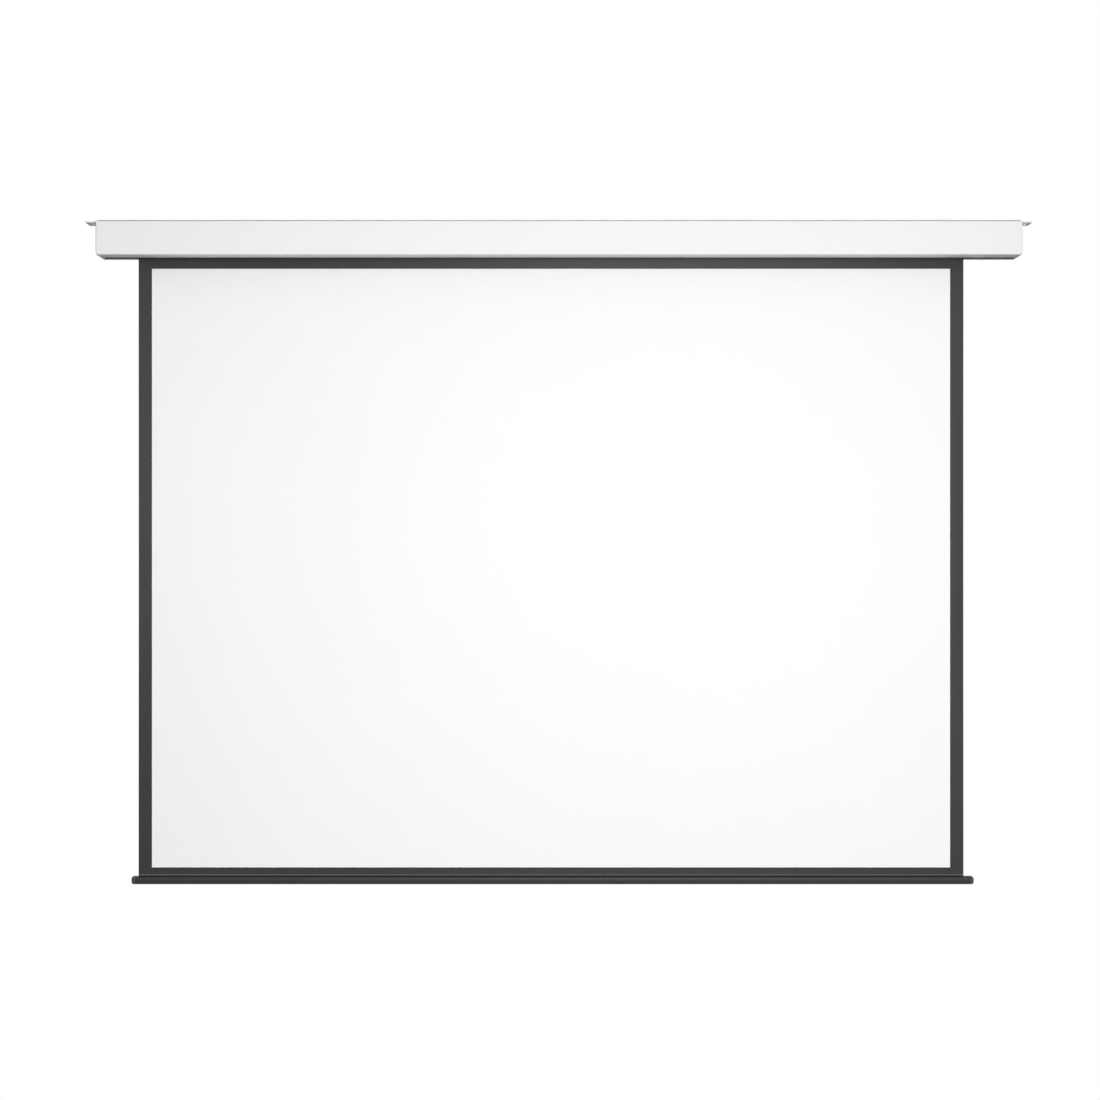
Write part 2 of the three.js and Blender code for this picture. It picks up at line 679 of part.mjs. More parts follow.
function motorHead() {
  const spigotEnd = headLeft - motorSpigot;
  const rim = motorHeadRadius - edgeChamfer;
  const body = turned([[spigotEnd, 0], [spigotEnd, packRadius], [headLeft, packRadius], [headLeft, rim],
    [headLeft + edgeChamfer, motorHeadRadius], [headRight, motorHeadRadius], [headRight, 0]]);
  const below = -motorHeadRadius - overrun;
  const flat = block([headLeft - overrun, -motorHeadRadius, below],
    [headRight + overrun, motorHeadRadius, -motorHeadFlat]);
  const tools = [flat];
  for (const side of [-1, 1]) {
    const well = circle(headMiddle + (side * adjusterSpacing) / 2, 0, adjusterRadius + gap, smallRoundSteps);
    tools.push(alongZ(well, below, -motorHeadFlat + adjusterDepth + gap));
  }
  const screwDepth = bracketScrew.length;
  for (const { y, radius } of headHoles) {
    tools.push(rodAt(y, 0, headRight - screwDepth, headRight + overrun, radius));
  }
  return cut(body, ...tools);
}

add(rollerFrame, 'motor_head', motorHead(), blackPlastic);

const switchRight = headLeft - motorSpigot - gap;
const switchLeft = switchRight - limitSwitchLength;
const capacitorRight = switchLeft - gap;
const capacitorLeft = capacitorRight - capacitorLength;
const statorRight = capacitorLeft - gap;
const statorLeft = statorRight - statorLength;
const brakeRight = statorLeft - gap;
const brakeLeft = brakeRight - brakeLength;
const gearboxRight = brakeLeft - gap;

function seatedPack(left, right, radius) {
  return turned([[left, 0], [left, packRadius], [left + packRim, packRadius], [left + packRim, radius],
    [right - packRim, radius], [right - packRim, packRadius], [right, packRadius], [right, 0]]);
}

function statorPack() {
  const coilRadius = packRadius - packRim / 2;
  const coilLeft = statorLeft + statorStepLength;
  const ironLeft = coilLeft + statorStepLength;
  const ironRight = statorRight - statorStepLength;
  return turned([[statorLeft, 0], [statorLeft, statorShaftRadius], [coilLeft, statorShaftRadius],
    [coilLeft, coilRadius], [ironLeft, coilRadius], [ironLeft, packRadius], [ironRight, packRadius],
    [ironRight, coilRadius], [statorRight, coilRadius], [statorRight, 0]]);
}

const switchPack = seatedPack(switchLeft, switchRight, packRadius - packRim);
const capacitor = seatedPack(capacitorLeft, capacitorRight, capacitorRadius);
const journalEnd = motorEnd + shaftJournalLength;
const journalBore = rod(motorEnd - overrun, journalEnd + gap, shaftJournalRadius, smallRoundSteps);
const gearbox = cut(rod(motorEnd, gearboxRight, packRadius), journalBore);
add(rollerFrame, 'limit_switch_pack', switchPack, greyPlastic);
add(rollerFrame, 'start_capacitor', capacitor, tubeAluminium);
add(rollerFrame, 'motor_stator', statorPack(), copper);
add(rollerFrame, 'motor_brake', seatedPack(brakeLeft, brakeRight, brakeRadius), motorSteel);
add(rollerFrame, 'planetary_gearbox', gearbox, greyPlastic);

function adjuster() {
  const body = alongZ(circle(0, 0, adjusterRadius, smallRoundSteps), -adjusterStandOut, adjusterDepth);
  const key = circle(0, 0, adjusterHexRadius, hexSides);
  return body.subtract(alongZ(key, -adjusterStandOut - overrun, -adjusterStandOut + adjusterKeyDepth));
}

const upperPlace = [headMiddle - adjusterSpacing / 2, 0, -motorHeadFlat];
const lowerPlace = [headMiddle + adjusterSpacing / 2, 0, -motorHeadFlat];
add(rollerFrame, 'upper_limit_screw', adjuster(), signalYellow, upperPlace);
add(rollerFrame, 'lower_limit_screw', adjuster(), signalRed, lowerPlace);

// Motor bracket, which carries the head on two screws and lets the lead out through its middle

const leadHole = { y: 0, radius: leadHoleRadius };
add(rollerFrame, 'motor_bracket', hatBracket(headRight, [...headHoles, leadHole]), zincSteel);
bracketScrews('motor_bracket', 1);
['front', 'rear'].forEach((name, i) => {
  const place = [headRight + bracketSheet, headHoles[i].y, 0];
  add(rollerFrame, `motor_head_screw_${name}`, screw(bracketScrew), zincSteel, place, aim.left);
});

// Terminal box behind the motor bracket's legs, with its open side towards the front

const boxRight = capInner;
const boxLeft = boxRight - boxLength;
const boxTop = boxMiddle + boxHeight / 2;
const boxBottom = boxMiddle - boxHeight / 2;
const lidFront = wallFace - boxFront;
const lidBack = lidFront + lidThickness;
const boxRear = wallFace - boxBack;
const lidScrewPlaces = [
  { x: boxLeft + lidScrewInset, z: boxBottom + lidScrewInset },
  { x: boxRight - lidScrewInset, z: boxTop - lidScrewInset },
];
const leadEntry = boxLeft + leadEntryInset;

function terminalBoxBase() {
  const outside = block([boxLeft, lidBack, boxBottom], [boxRight, boxRear, boxTop]);
  const inside = block([boxLeft + boxWall, lidBack - overrun, boxBottom + boxWall],
    [boxRight - boxWall, boxRear - boxWall, boxTop - boxWall]);
  let base = outside.subtract(inside);
  for (const { x, z } of lidScrewPlaces) {
    base = base.add(alongY(circle(x, z, lidBossRadius, smallRoundSteps), lidBack, boxRear - boxWall / 2));
  }
  for (const { x, z } of lidScrewPlaces) {
    const bore = circle(x, z, smallScrew.shank + gap, smallRoundSteps);
    base = base.subtract(alongY(bore, lidBack - overrun, lidFront + smallScrew.length + overrun));
  }
  for (const { y, z, radius } of [...boxHoles, cableHole]) {
    base = base.subtract(rodAt(y, z, boxRight - boxWall - overrun, boxRight + overrun, radius));
  }
  return base;
}

function terminalBoxLid() {
  let lid = alongY(roundedRectangle(boxLeft, boxBottom, boxRight, boxTop, lidCorner), lidFront, lidBack);
  const screwHoles = lidScrewPlaces.map(({ x, z }) => circle(x, z, smallScrew.shank + gap, smallRoundSteps));
  const leadWay = circle(leadEntry, rollerAxis.z, leadRadius + gap, smallRoundSteps);
  for (const hole of [...screwHoles, leadWay]) {
    lid = lid.subtract(alongY(hole, lidFront - overrun, lidBack + overrun));
  }
  return lid;
}

const blockBack = boxRear - boxWall;
const blockFront = blockBack - terminalBlock.depth;
const blockLow = rollerAxis.z - terminalBlock.height / 2;
const blockLeft = boxLeft + lidScrewInset + lidBossRadius + gap;

function terminalStrip() {
  const { length, height, ways } = terminalBlock;
  let strip = block([blockLeft, blockFront, blockLow], [blockLeft + length, blockBack, blockLow + height]);
  for (let way = 0; way < ways; way += 1) {
    const x = blockLeft + ((way + 1 / 2) * length) / ways;
    const well = circle(x, blockLow + terminalScrew.rise, terminalScrew.radius, smallRoundSteps);
    strip = strip.subtract(alongY(well, blockFront - overrun, blockFront + terminalScrew.depth));
  }
  return strip;
}

add(screen, 'terminal_box_base', terminalBoxBase(), greyPlastic);
add(screen, 'terminal_box_lid', terminalBoxLid(), greyPlastic);
lidScrewPlaces.forEach(({ x, z }, i) => {
  add(screen, `terminal_lid_screw_${i + 1}`, screw(smallScrew), zincSteel, [x, lidFront, z], aim.back);
});
const boxScrew = { ...smallScrew, length: boxWall + blindDepth - screwEndGap };
boxHoles.forEach(({ y, z }, i) => {
  const place = [boxRight - boxWall, y, z];
  add(screen, `terminal_box_screw_${i + 1}`, screw(boxScrew), zincSteel, place, aim.right);
});
add(screen, 'terminal_block', terminalStrip(), whiteNylon);

// Cable grommet in the end cap, through the terminal box's end wall

function cableGrommet() {
  const { y, z } = cableHole;
  const neck = cableHoleRadius - gap;
  const rim = cableHoleRadius + grommetRim;
  const edge = rim - edgeChamfer;
  const inside = boxRight - boxWall;
  const [left, right] = [inside - grommetFlange, capOuter + grommetFlange];
  const body = turned([[left, 0], [left, edge], [inside, rim], [inside, neck], [capOuter, neck],
    [capOuter, rim], [right, edge], [right, 0]], smallRoundSteps);
  const bored = body.subtract(rod(left - overrun, right + overrun, cableBoreRadius, smallRoundSteps));
  return solid(geometryOf(bored).translate(0, y, z));
}

add(screen, 'cable_grommet', cableGrommet(), rubber);

// Motor lead, from the motor head's middle to the terminal block, in the plane of the roller's axis

function motorLead() {
  const start = new THREE.Vector3(headRight + gap, rollerAxis.y, rollerAxis.z);
  const bendStart = new THREE.Vector3(leadEntry - leadBend, rollerAxis.y, rollerAxis.z);
  const corner = new THREE.Vector3(leadEntry, rollerAxis.y, rollerAxis.z);
  const bendEnd = new THREE.Vector3(leadEntry, rollerAxis.y + leadBend, rollerAxis.z);
  const end = new THREE.Vector3(leadEntry, blockFront - gap, rollerAxis.z);
  const route = new THREE.CurvePath();
  route.add(new THREE.LineCurve3(start, bendStart));
  route.add(new THREE.QuadraticBezierCurve3(bendStart, corner, bendEnd));
  route.add(new THREE.LineCurve3(bendEnd, end));
  const swept = { steps: leadSteps, extrudePath: route, bevelEnabled: false };
  return solid(new THREE.ExtrudeGeometry(circle(0, 0, leadRadius, leadSides), swept));
}

add(screen, 'motor_lead', motorLead(), rubber);

// Screen fabric: a black cloth with the white viewing face on its front

const backingBottom = barTop + hemRise + gap;
const [pictureLeft, pictureRight] = [screenLeft + sideBorder, screenRight - sideBorder];
const backing = block([screenLeft, fabricSeam, backingBottom], [screenRight, fabricBack, rollerAxis.z]);
const face = block([pictureLeft, fabricFront, pictureBottom], [pictureRight, fabricSeam, pictureTop]);
add(screen, 'black_backing', backing, blackScreen);
add(screen, 'viewing_face', face, whiteScreen);

// Bottom bar, with the rod and hem that it hangs on

const barMiddle = (screenLeft + screenRight) / 2 + barShift;
const barHalf = (screenRight - screenLeft) / 2 + barOverhang;
const barFront = fabricMiddle - barDepth / 2;
const barBack = fabricMiddle + barDepth / 2;
const profileEnds = [barMiddle - barHalf + barCapLength, barMiddle + barHalf - barCapLength];
const hemInner = hemRodRadius + gap;
const hemOuter = hemInner + sheetThickness;
const channelRadius = hemOuter + gap;
const rodHeight = barTop - barTopWall - channelRadius;
const chamber = {
  low: barBottom + chamberFloor, high: barBottom + chamberFloor + chamberHeight,
  front: fabricMiddle - chamberWidth / 2, back: fabricMiddle + chamberWidth / 2,
};

function bottomBar() {
  const outline = roundedRectangle(barFront, barBottom, barBack, barTop, barCorner);
  const { front, low, back, high } = chamber;
  outline.holes.push(roundedRectangle(front, low, back, high, chamberCorner));
  const [from, to] = profileEnds;
  const channel = alongX(circle(fabricMiddle, rodHeight, channelRadius), from - overrun, to + overrun);
  const mouth = sheetThickness + gap;
  const slot = block([from - overrun, fabricMiddle - mouth, rodHeight],
    [to + overrun, fabricMiddle + mouth, barTop + overrun]);
  return cut(alongX(outline, from, to), channel, slot);
}

function barCap() {
  const start = barHalf - barCapLength;
  const outline = roundedRectangle(barFront + barCapRound, barBottom + barCapRound,
    barBack - barCapRound, barTop - barCapRound, barCorner - barCapRound);
  const rounded = roundedBlock(outline, start, barHalf, barCapRound);
  const behind = block([start - barCapLength - barCapRound, barFront - overrun, barBottom - overrun],
    [start, barBack + overrun, barTop + overrun]);
  const { front, low, back, high } = chamber;
  const inChamber = roundedRectangle(front + gap, low + gap, back - gap, high - gap, chamberCorner - gap);
  return joined(rounded.subtract(behind), alongX(inChamber, start - barCapSpigot, start + barCapRound));
}

function bottomHem() {
  const outline = circle(fabricMiddle, rodHeight, hemOuter, smallRoundSteps);
  outline.holes.push(circle(fabricMiddle, rodHeight, hemInner, smallRoundSteps));
  const low = rodHeight + (hemInner + hemOuter) / 2;
  const neck = block([screenLeft, fabricMiddle - sheetThickness, low],
    [screenRight, fabricMiddle + sheetThickness, barTop + hemRise]);
  return alongX(outline, screenLeft, screenRight).add(neck);
}

add(screen, 'bottom_bar', bottomBar(), blackBar);
add(screen, 'bar_end_cap_right', barCap(), blackPlastic, [barMiddle, 0, 0]);
add(screen, 'bar_end_cap_left', mirrored(barCap()), blackPlastic, [barMiddle, 0, 0]);
add(screen, 'hem_rod', rodAt(fabricMiddle, rodHeight, screenLeft, screenRight, hemRodRadius), zincSteel);
add(screen, 'bottom_hem', bottomHem(), blackScreen);

export default screen;
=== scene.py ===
import json
import math

import bmesh
import bpy
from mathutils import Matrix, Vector


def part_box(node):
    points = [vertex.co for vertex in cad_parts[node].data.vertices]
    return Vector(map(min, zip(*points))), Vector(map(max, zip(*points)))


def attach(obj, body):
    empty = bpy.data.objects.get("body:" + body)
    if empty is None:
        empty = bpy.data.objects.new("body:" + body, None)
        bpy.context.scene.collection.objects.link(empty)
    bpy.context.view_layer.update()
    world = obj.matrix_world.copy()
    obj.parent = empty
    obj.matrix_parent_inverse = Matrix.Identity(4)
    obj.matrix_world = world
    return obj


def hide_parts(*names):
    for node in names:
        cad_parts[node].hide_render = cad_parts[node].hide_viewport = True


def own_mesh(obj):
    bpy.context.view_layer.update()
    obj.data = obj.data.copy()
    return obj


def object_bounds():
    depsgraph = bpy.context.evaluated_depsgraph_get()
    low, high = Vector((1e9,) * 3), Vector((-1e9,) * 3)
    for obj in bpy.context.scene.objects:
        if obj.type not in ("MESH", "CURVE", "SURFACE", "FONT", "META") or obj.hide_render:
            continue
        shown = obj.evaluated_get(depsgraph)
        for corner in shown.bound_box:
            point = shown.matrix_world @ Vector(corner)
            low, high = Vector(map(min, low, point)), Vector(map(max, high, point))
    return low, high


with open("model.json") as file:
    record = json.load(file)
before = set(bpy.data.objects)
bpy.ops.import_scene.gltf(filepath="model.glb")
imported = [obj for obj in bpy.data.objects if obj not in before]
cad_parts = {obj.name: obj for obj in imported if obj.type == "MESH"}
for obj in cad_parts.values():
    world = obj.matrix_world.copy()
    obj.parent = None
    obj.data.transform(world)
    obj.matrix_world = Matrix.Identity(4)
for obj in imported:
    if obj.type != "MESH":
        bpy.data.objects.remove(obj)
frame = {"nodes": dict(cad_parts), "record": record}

# A motorized projection screen, lowered: the look of each piece, in metres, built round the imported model.
# +X is to the right of somebody who looks at the picture, +Y goes into the wall, +Z up.

MM = 0.001
# How far a cutting tool reaches past what it cuts, and the play between pieces that fit into each other
OVERRUN = 1 * MM
FIT = 0.3 * MM
UPRIGHT = (math.radians(90), 0, 0)
cad_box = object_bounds()


# Shader nodes

class Signal:
    """A number or colour that a node puts out. Sums, products and comparisons of it add Math nodes."""

    def __init__(self, finish, socket):
        self.finish = finish
        self.socket = socket

    def maths(self, operation, *others):
        inputs = dict(enumerate((self, *others)))
        return self.finish.node("ShaderNodeMath", {"operation": operation}, inputs)

    def __add__(self, other):
        return self.maths("ADD", other)

    __radd__ = __add__

    def __sub__(self, other):
        return self.maths("SUBTRACT", other)

    def __rsub__(self, other):
        return self.maths("MULTIPLY", -1).maths("ADD", other)

    def __mul__(self, other):
        return self.maths("MULTIPLY", other)

    __rmul__ = __mul__

    def __truediv__(self, other):
        return self.maths("DIVIDE", other)

    def __gt__(self, other):
        return self.maths("GREATER_THAN", other)

    def __lt__(self, other):
        return self.maths("LESS_THAN", other)

    def clamped(self, low, high):
        return self.maths("MAXIMUM", low).maths("MINIMUM", high)

    def wave(self):
        return self.maths("SINE")

    def size(self):
        return self.maths("ABSOLUTE")


class Finish:
    """Builds one tree of shader nodes, a material's or the world's."""

    def __init__(self, tree):
        self.tree = tree

    @property
    def shader(self):
        """The material's own shader."""
        return self.tree.nodes["Principled BSDF"]

    def node(self, kind, settings=None, sockets=None, output=0):
        """One node of any type: first its settings, then the values or links of its sockets."""
        made = self.tree.nodes.new(kind)
        for key, value in (settings or {}).items():
            setattr(made, key, value)
        for key, value in (sockets or {}).items():
            self.feed(made.inputs[key], value)
        return None if output is None else Signal(self, made.outputs[output])

    def feed(self, socket, value):
        if isinstance(value, Signal):
            self.tree.links.new(value.socket, socket)
        else:
            socket.default_value = value

    def surface(self, **inputs):
        """Sets or feeds inputs of the material's own shader, such as base_color or ior."""
        for key, value in inputs.items():
            self.feed(self.shader.inputs[key.replace("_", " ").title().replace("Ior", "IOR")], value)

    def split(self, vector):
        parts = self.tree.nodes.new("ShaderNodeSeparateXYZ")
        self.feed(parts.inputs[0], vector)
        return [Signal(self, parts.outputs[axis]) for axis in range(3)]

    def place(self, stretch=(1, 1, 1)):
        """The point on the piece in metres, stretched along each axis."""
        point = self.node("ShaderNodeTexCoord", output="Object")
        if stretch == (1, 1, 1):
            return point
        return self.node("ShaderNodeVectorMath", {"operation": "MULTIPLY"}, {0: point, 1: stretch})

    def noise(self, point, scale, detail=2, roughness=0.5):
        """Soft noise from 0 to 1, with scale cells a metre."""
        sockets = {"Vector": point, "Scale": scale, "Detail": detail, "Roughness": roughness}
        return self.node("ShaderNodeTexNoise", sockets=sockets)

    def blend(self, share, first, second):
        """A colour from first, at share 0, to second, at share 1."""
        made = self.tree.nodes.new("ShaderNodeMix")
        made.data_type = "RGBA"
        for socket, value in zip([made.inputs[0], made.inputs[6], made.inputs[7]], [share, first, second]):
            self.feed(socket, value)
        return Signal(self, made.outputs[2])

    def relief(self, height, distance, strength=1):
        """A bumped normal from a height of 0 to 1 that stands for distance metres."""
        sockets = {"Height": height, "Distance": distance, "Strength": strength}
        return self.node("ShaderNodeBump", sockets=sockets)

    def seen_directly(self):
        """1 for what the camera sees itself, in a mirror or through glass, and 0 for light on the object."""
        path = self.tree.nodes.new("ShaderNodeLightPath")
        rays = ["Is Camera Ray", "Is Glossy Ray", "Is Transmission Ray"]
        camera, glossy, through = [Signal(self, path.outputs[name]) for name in rays]
        return (camera + glossy + through).clamped(0, 1)


def new_finish(name, metallic=0, **constants):
    """A material with its constants set on the shader, and the tree to add to."""
    material = bpy.data.materials.new(name)
    material.use_nodes = True
    finish = Finish(material.node_tree)
    finish.surface(metallic=metallic, **constants)
    return material, finish


def colour(red, green, blue):
    return (red, green, blue, 1)


def grey(level):
    return colour(level, level, level)


def tinted(tone, share, lift=0):
    """A colour made darker or paler by a share, and then lifted a little."""
    return colour(*(min(1, channel * share + lift) for channel in tone[:3]))


# Camera, light and floor

# Each lamp's place, the point that it is aimed at, its width and height, and its power
LAMPS = {
    "front_box": ((0.4, -3.4, -0.6), (0.4, 0, -0.6), (1.8, 1.4), 78),
    "left_box": ((-2.2, -3.2, -0.5), (-1, 0, -0.4), (1.6, 1.4), 11),
    "low_box": ((2.1, -1.9, -1.9), (0.9, 0, -0.1), (0.8, 0.8), 2),
    "rear_box": ((-0.6, 3.4, 1.4), (0, 0, -0.8), (2.6, 2.0), 60),
}
SKY_BOTTOM = 0.03
SKY_TOP = 0.7
SKY_SLOPE = 1.6
SKY_TURN = 0.5


def make_camera():
    """The photograph looks straight along +Y from near the middle of the picture."""
    distance = 4.84
    frame_width = 2.8006
    middle_x = -0.0226
    middle_z = -0.7859
    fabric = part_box("viewing_face")[0].y
    data = bpy.data.cameras.new("camera")
    data.lens = data.sensor_width * (distance + fabric) / frame_width
    camera = bpy.data.objects.new("camera", data)
    camera.location = (middle_x, -distance, middle_z)
    camera.rotation_euler = UPRIGHT
    bpy.context.scene.collection.objects.link(camera)
    bpy.context.scene.camera = camera


def make_lights():
    """Four soft boxes: a large one in front, weak ones at the left and low at the right, and one behind."""
    for name, (place, target, (width, height), power) in LAMPS.items():
        data = bpy.data.lights.new(name, "AREA")
        data.shape = "RECTANGLE"
        data.size = width
        data.size_y = height
        data.energy = power
        lamp = bpy.data.objects.new(name, data)
        lamp.location = place
        lamp.rotation_euler = (Vector(target) - Vector(place)).to_track_quat("-Z", "Y").to_euler()
        bpy.context.scene.collection.objects.link(lamp)


def make_world():
    """Soft light that is stronger from above and from the right, with plain white behind the object."""
    world = bpy.data.worlds.new("studio")
    world.use_nodes = True
    bpy.context.scene.world = world
    world.node_tree.nodes.clear()
    studio = Finish(world.node_tree)
    direction = studio.node("ShaderNodeTexCoord", output="Generated")
    across, _, height = studio.split(direction)
    rise = (height * SKY_SLOPE + 0.5).clamped(0, 1)
    sky_level = (rise * (SKY_TOP - SKY_BOTTOM) + SKY_BOTTOM) * (across * SKY_TURN + 1)
    sky = studio.node("ShaderNodeBackground", sockets={"Color": grey(1), "Strength": sky_level})
    white = studio.node("ShaderNodeBackground", sockets={"Color": grey(1), "Strength": 1})
    shown = studio.node("ShaderNodeMixShader", sockets={0: studio.seen_directly(), 1: sky, 2: white})
    studio.node("ShaderNodeOutputWorld", sockets={"Surface": shown}, output=None)


def make_floor():
    """A pale floor a room's height below the housing, which fades into plain white towards its edges."""
    reach = 2.2
    behind = 0.9
    drop = 0.9
    plain_share = 0.4
    fade_share = 0.55
    middle = behind - reach
    floor = primitive("floor", "plane", size=2 * reach, location=(0, middle, cad_box[0].z - drop))
    material, finish = new_finish("pale_floor", roughness=0.8, specular_ior_level=0.2)
    seen = finish.seen_directly()
    finish.surface(base_color=finish.blend(seen, grey(0.12), grey(0.86)))
    x, y, _ = finish.split(finish.place())
    out = (x * x + (y - middle) * (y - middle)).maths("SQRT")
    fade = ((out - plain_share * reach) / (fade_share * reach)).clamped(0, 1)
    painted = Signal(finish, finish.shader.outputs[0])
    white = finish.node("ShaderNodeEmission", sockets={"Color": grey(1), "Strength": 1})
    shown = finish.node("ShaderNodeMixShader", sockets={0: fade * seen, 1: painted, 2: white})
    finish.feed(finish.tree.nodes["Material Output"].inputs["Surface"], shown)
    floor.data.materials.append(material)


# Finishes

def powder_coat(name, tone, roughness, grain, gloss):
    """Baked powder paint: fine orange peel, and a tone that drifts a little along the piece."""
    material, finish = new_finish(name, ior=1.5, specular_ior_level=gloss)
    point = finish.place()
    drift = finish.noise(point, 3.5, detail=3)
    peel = finish.noise(point, 420)
    speck = finish.noise(point, 1500, detail=1)
    share = (drift * 0.6 + speck * 0.4).clamped(0, 1)
    finish.surface(
        base_color=finish.blend(share, tinted(tone, 1 - grain), tone),
        roughness=(drift - 0.5) * 0.1 + (peel - 0.5) * 0.08 + roughness,
        normal=finish.relief(peel * 0.8 + speck * 0.2, 0.06 * MM, 0.5))
    return material


def moulded_plastic(name, tone, roughness=0.5):
    """Moulded plastic: a fine spark-eroded grain and faint flow marks."""
    material, finish = new_finish(name, ior=1.48)
    grain = finish.noise(finish.place(), 1900, roughness=0.6)
    flow = finish.noise(finish.place((1, 1, 0.3)), 60)
    finish.surface(
        base_color=finish.blend(flow * 0.5 + grain * 0.3, tone, tinted(tone, 1.18, 0.004)),
        roughness=(grain - 0.5) * 0.16 + (flow - 0.5) * 0.1 + roughness,
        normal=finish.relief(grain, 0.05 * MM, 0.6))
    return material


def drawn_metal(name, tone, roughness):
    """Metal with fine lines along its length, as it comes off the draw bench."""
    material, finish = new_finish(name, metallic=1)
    lines = finish.noise(finish.place((6, 900, 900)), 1, detail=3, roughness=0.65)
    cloud = finish.noise(finish.place(), 28, detail=3)
    finish.surface(
        base_color=finish.blend(lines * 0.55 + cloud * 0.45, tinted(tone, 0.8), tone),
        roughness=(lines - 0.5) * 0.22 + (cloud - 0.5) * 0.14 + roughness,
        normal=finish.relief(lines, 0.02 * MM, 0.5))
    return material


def zinc_plate(name):
    """Bright zinc with the faint yellow and blue clouds of its passivation."""
    material, finish = new_finish(name, metallic=1)
    point = finish.place()
    cloud = finish.noise(point, 95, detail=3)
    grain = finish.noise(point, 1700)
    finish.surface(
        base_color=finish.blend(cloud, colour(0.60, 0.62, 0.66), colour(0.72, 0.70, 0.64)),
        roughness=(cloud - 0.5) * 0.2 + (grain - 0.5) * 0.1 + 0.34,
        normal=finish.relief(grain, 0.02 * MM, 0.5))
    return material


def copper_winding(name):
    """Varnished wire in tight turns about the X axis, with painted shade in the grooves between the turns."""
    material, finish = new_finish(name, metallic=0.8)
    wire = 0.7 * MM
    along = finish.split(finish.place())[0]
    turns = (along * (2 * math.pi / wire)).wave() * 0.5 + 0.5
    cloud = finish.noise(finish.place(), 120, detail=3)
    # Painted shade: the colour is darker between the turns, mixed with a random cloud of tone.
    share = turns * 0.7 + cloud * 0.3
    finish.surface(
        base_color=finish.blend(share, colour(0.20, 0.07, 0.03), colour(0.62, 0.30, 0.14)),
        roughness=(cloud - 0.5) * 0.2 + 0.42,
        normal=finish.relief(turns, 0.2 * MM))
    return material


def soft_rubber(name):
    """Black rubber with a dusty bloom."""
    material, finish = new_finish(name, ior=1.45)
    point = finish.place()
    bloom = finish.noise(point, 160, detail=4)
    grain = finish.noise(point, 2400)
    finish.surface(
        base_color=finish.blend(bloom, colour(0.018, 0.018, 0.02), colour(0.045, 0.045, 0.048)),
        roughness=(bloom - 0.5) * 0.14 + 0.7,
        normal=finish.relief(grain, 0.05 * MM, 0.6))
    return material


WHITE_DARK = grey(0.91)
WHITE_LIGHT = grey(0.94)
BORDER_DARK = colour(0.007, 0.007, 0.0075)
BORDER_LIGHT = colour(0.016, 0.016, 0.0165)
INK_SHEEN = 0.64
THREAD = 0.5 * MM


def viewing_cloth(name, picture):
    """The sheet's front: matte white with a border of black ink, which has a faint sheen, on a plain weave.

    The picture's left, low, right and high edges are in metres of the sheet's UV map.
    """
    material, finish = new_finish(name, ior=1.45, specular_ior_level=0.1, coat_roughness=0.35)
    across, along, _ = finish.split(finish.node("ShaderNodeTexCoord", output="UV"))
    left, low, right, high = picture
    inside = (across > left) * (across < right) * (along > low) * (along < high)
    weave = (across * (math.pi / THREAD)).wave().size() * (along * (math.pi / THREAD)).wave().size()
    point = finish.place()
    cloud = finish.noise(point, 2.2, detail=4, roughness=0.6)
    fibre = finish.noise(point, 900)
    white = finish.blend(cloud * 0.7 + fibre * 0.3, WHITE_DARK, WHITE_LIGHT)
    black = finish.blend(fibre * 0.6 + cloud * 0.4, BORDER_DARK, BORDER_LIGHT)
    finish.surface(
        base_color=finish.blend(inside, black, white),
        roughness=inside * 0.22 + (fibre - 0.5) * 0.1 + 0.62,
        coat_weight=(1 - inside) * INK_SHEEN,
        normal=finish.relief(weave, 0.05 * MM, 0.35))
    return material


def blackout_cloth(name):
    """The sheet's back: black coated cloth."""
    material, finish = new_finish(name, ior=1.45, specular_ior_level=0.3)
    point = finish.place()
    cloud = finish.noise(point, 5, detail=4, roughness=0.6)
    fibre = finish.noise(point, 900)
    share = cloud * 0.5 + fibre * 0.5
    finish.surface(
        base_color=finish.blend(share, colour(0.018, 0.018, 0.019), colour(0.036, 0.036, 0.038)),
        roughness=(cloud - 0.5) * 0.12 + 0.72,
        normal=finish.relief(fibre, 0.06 * MM, 0.6))
    return material


def make_finishes():
    """The finish of each material slot, but for the viewing cloth, which needs the picture's place."""
    return {
        "white_paint": powder_coat("white_powder_coat", colour(0.86, 0.87, 0.875), 0.62, 0.015, 0.15),
        "black_bar": powder_coat("black_powder_coat", colour(0.015, 0.015, 0.016), 0.44, 0.3, 0.35),
        "zinc_steel": zinc_plate("zinc_plate"),
        "tube_aluminium": drawn_metal("drawn_aluminium", colour(0.78, 0.79, 0.80), 0.32),
        "motor_steel": drawn_metal("drawn_steel", colour(0.56, 0.57, 0.58), 0.38),
        "copper_winding": copper_winding("varnished_winding"),
        "black_plastic": moulded_plastic("black_nylon", colour(0.030, 0.030, 0.032)),
        "grey_plastic": moulded_plastic("grey_abs", colour(0.26, 0.28, 0.29)),
        "white_nylon": moulded_plastic("natural_nylon", colour(0.78, 0.76, 0.70), 0.42),
        "yellow_plastic": moulded_plastic("yellow_nylon", colour(0.68, 0.45, 0.05)),
        "red_plastic": moulded_plastic("red_nylon", colour(0.48, 0.07, 0.05)),
        "black_rubber": soft_rubber("black_rubber"),
        "black_screen": blackout_cloth("blackout_cloth"),
    }


# Modelling tools

AXIS_TURNS = {"X": (0, math.radians(90), 0), "Y": (math.radians(-90), 0, 0), "Z": (0, 0, 0)}
AXES = {"X": Vector((1, 0, 0)), "Y": Vector((0, 1, 0)), "Z": Vector((0, 0, 1))}


def choose(piece):
    """Selects one piece alone."""
    bpy.ops.object.select_all(action="DESELECT")
    piece.select_set(True)
    bpy.context.view_layer.objects.active = piece


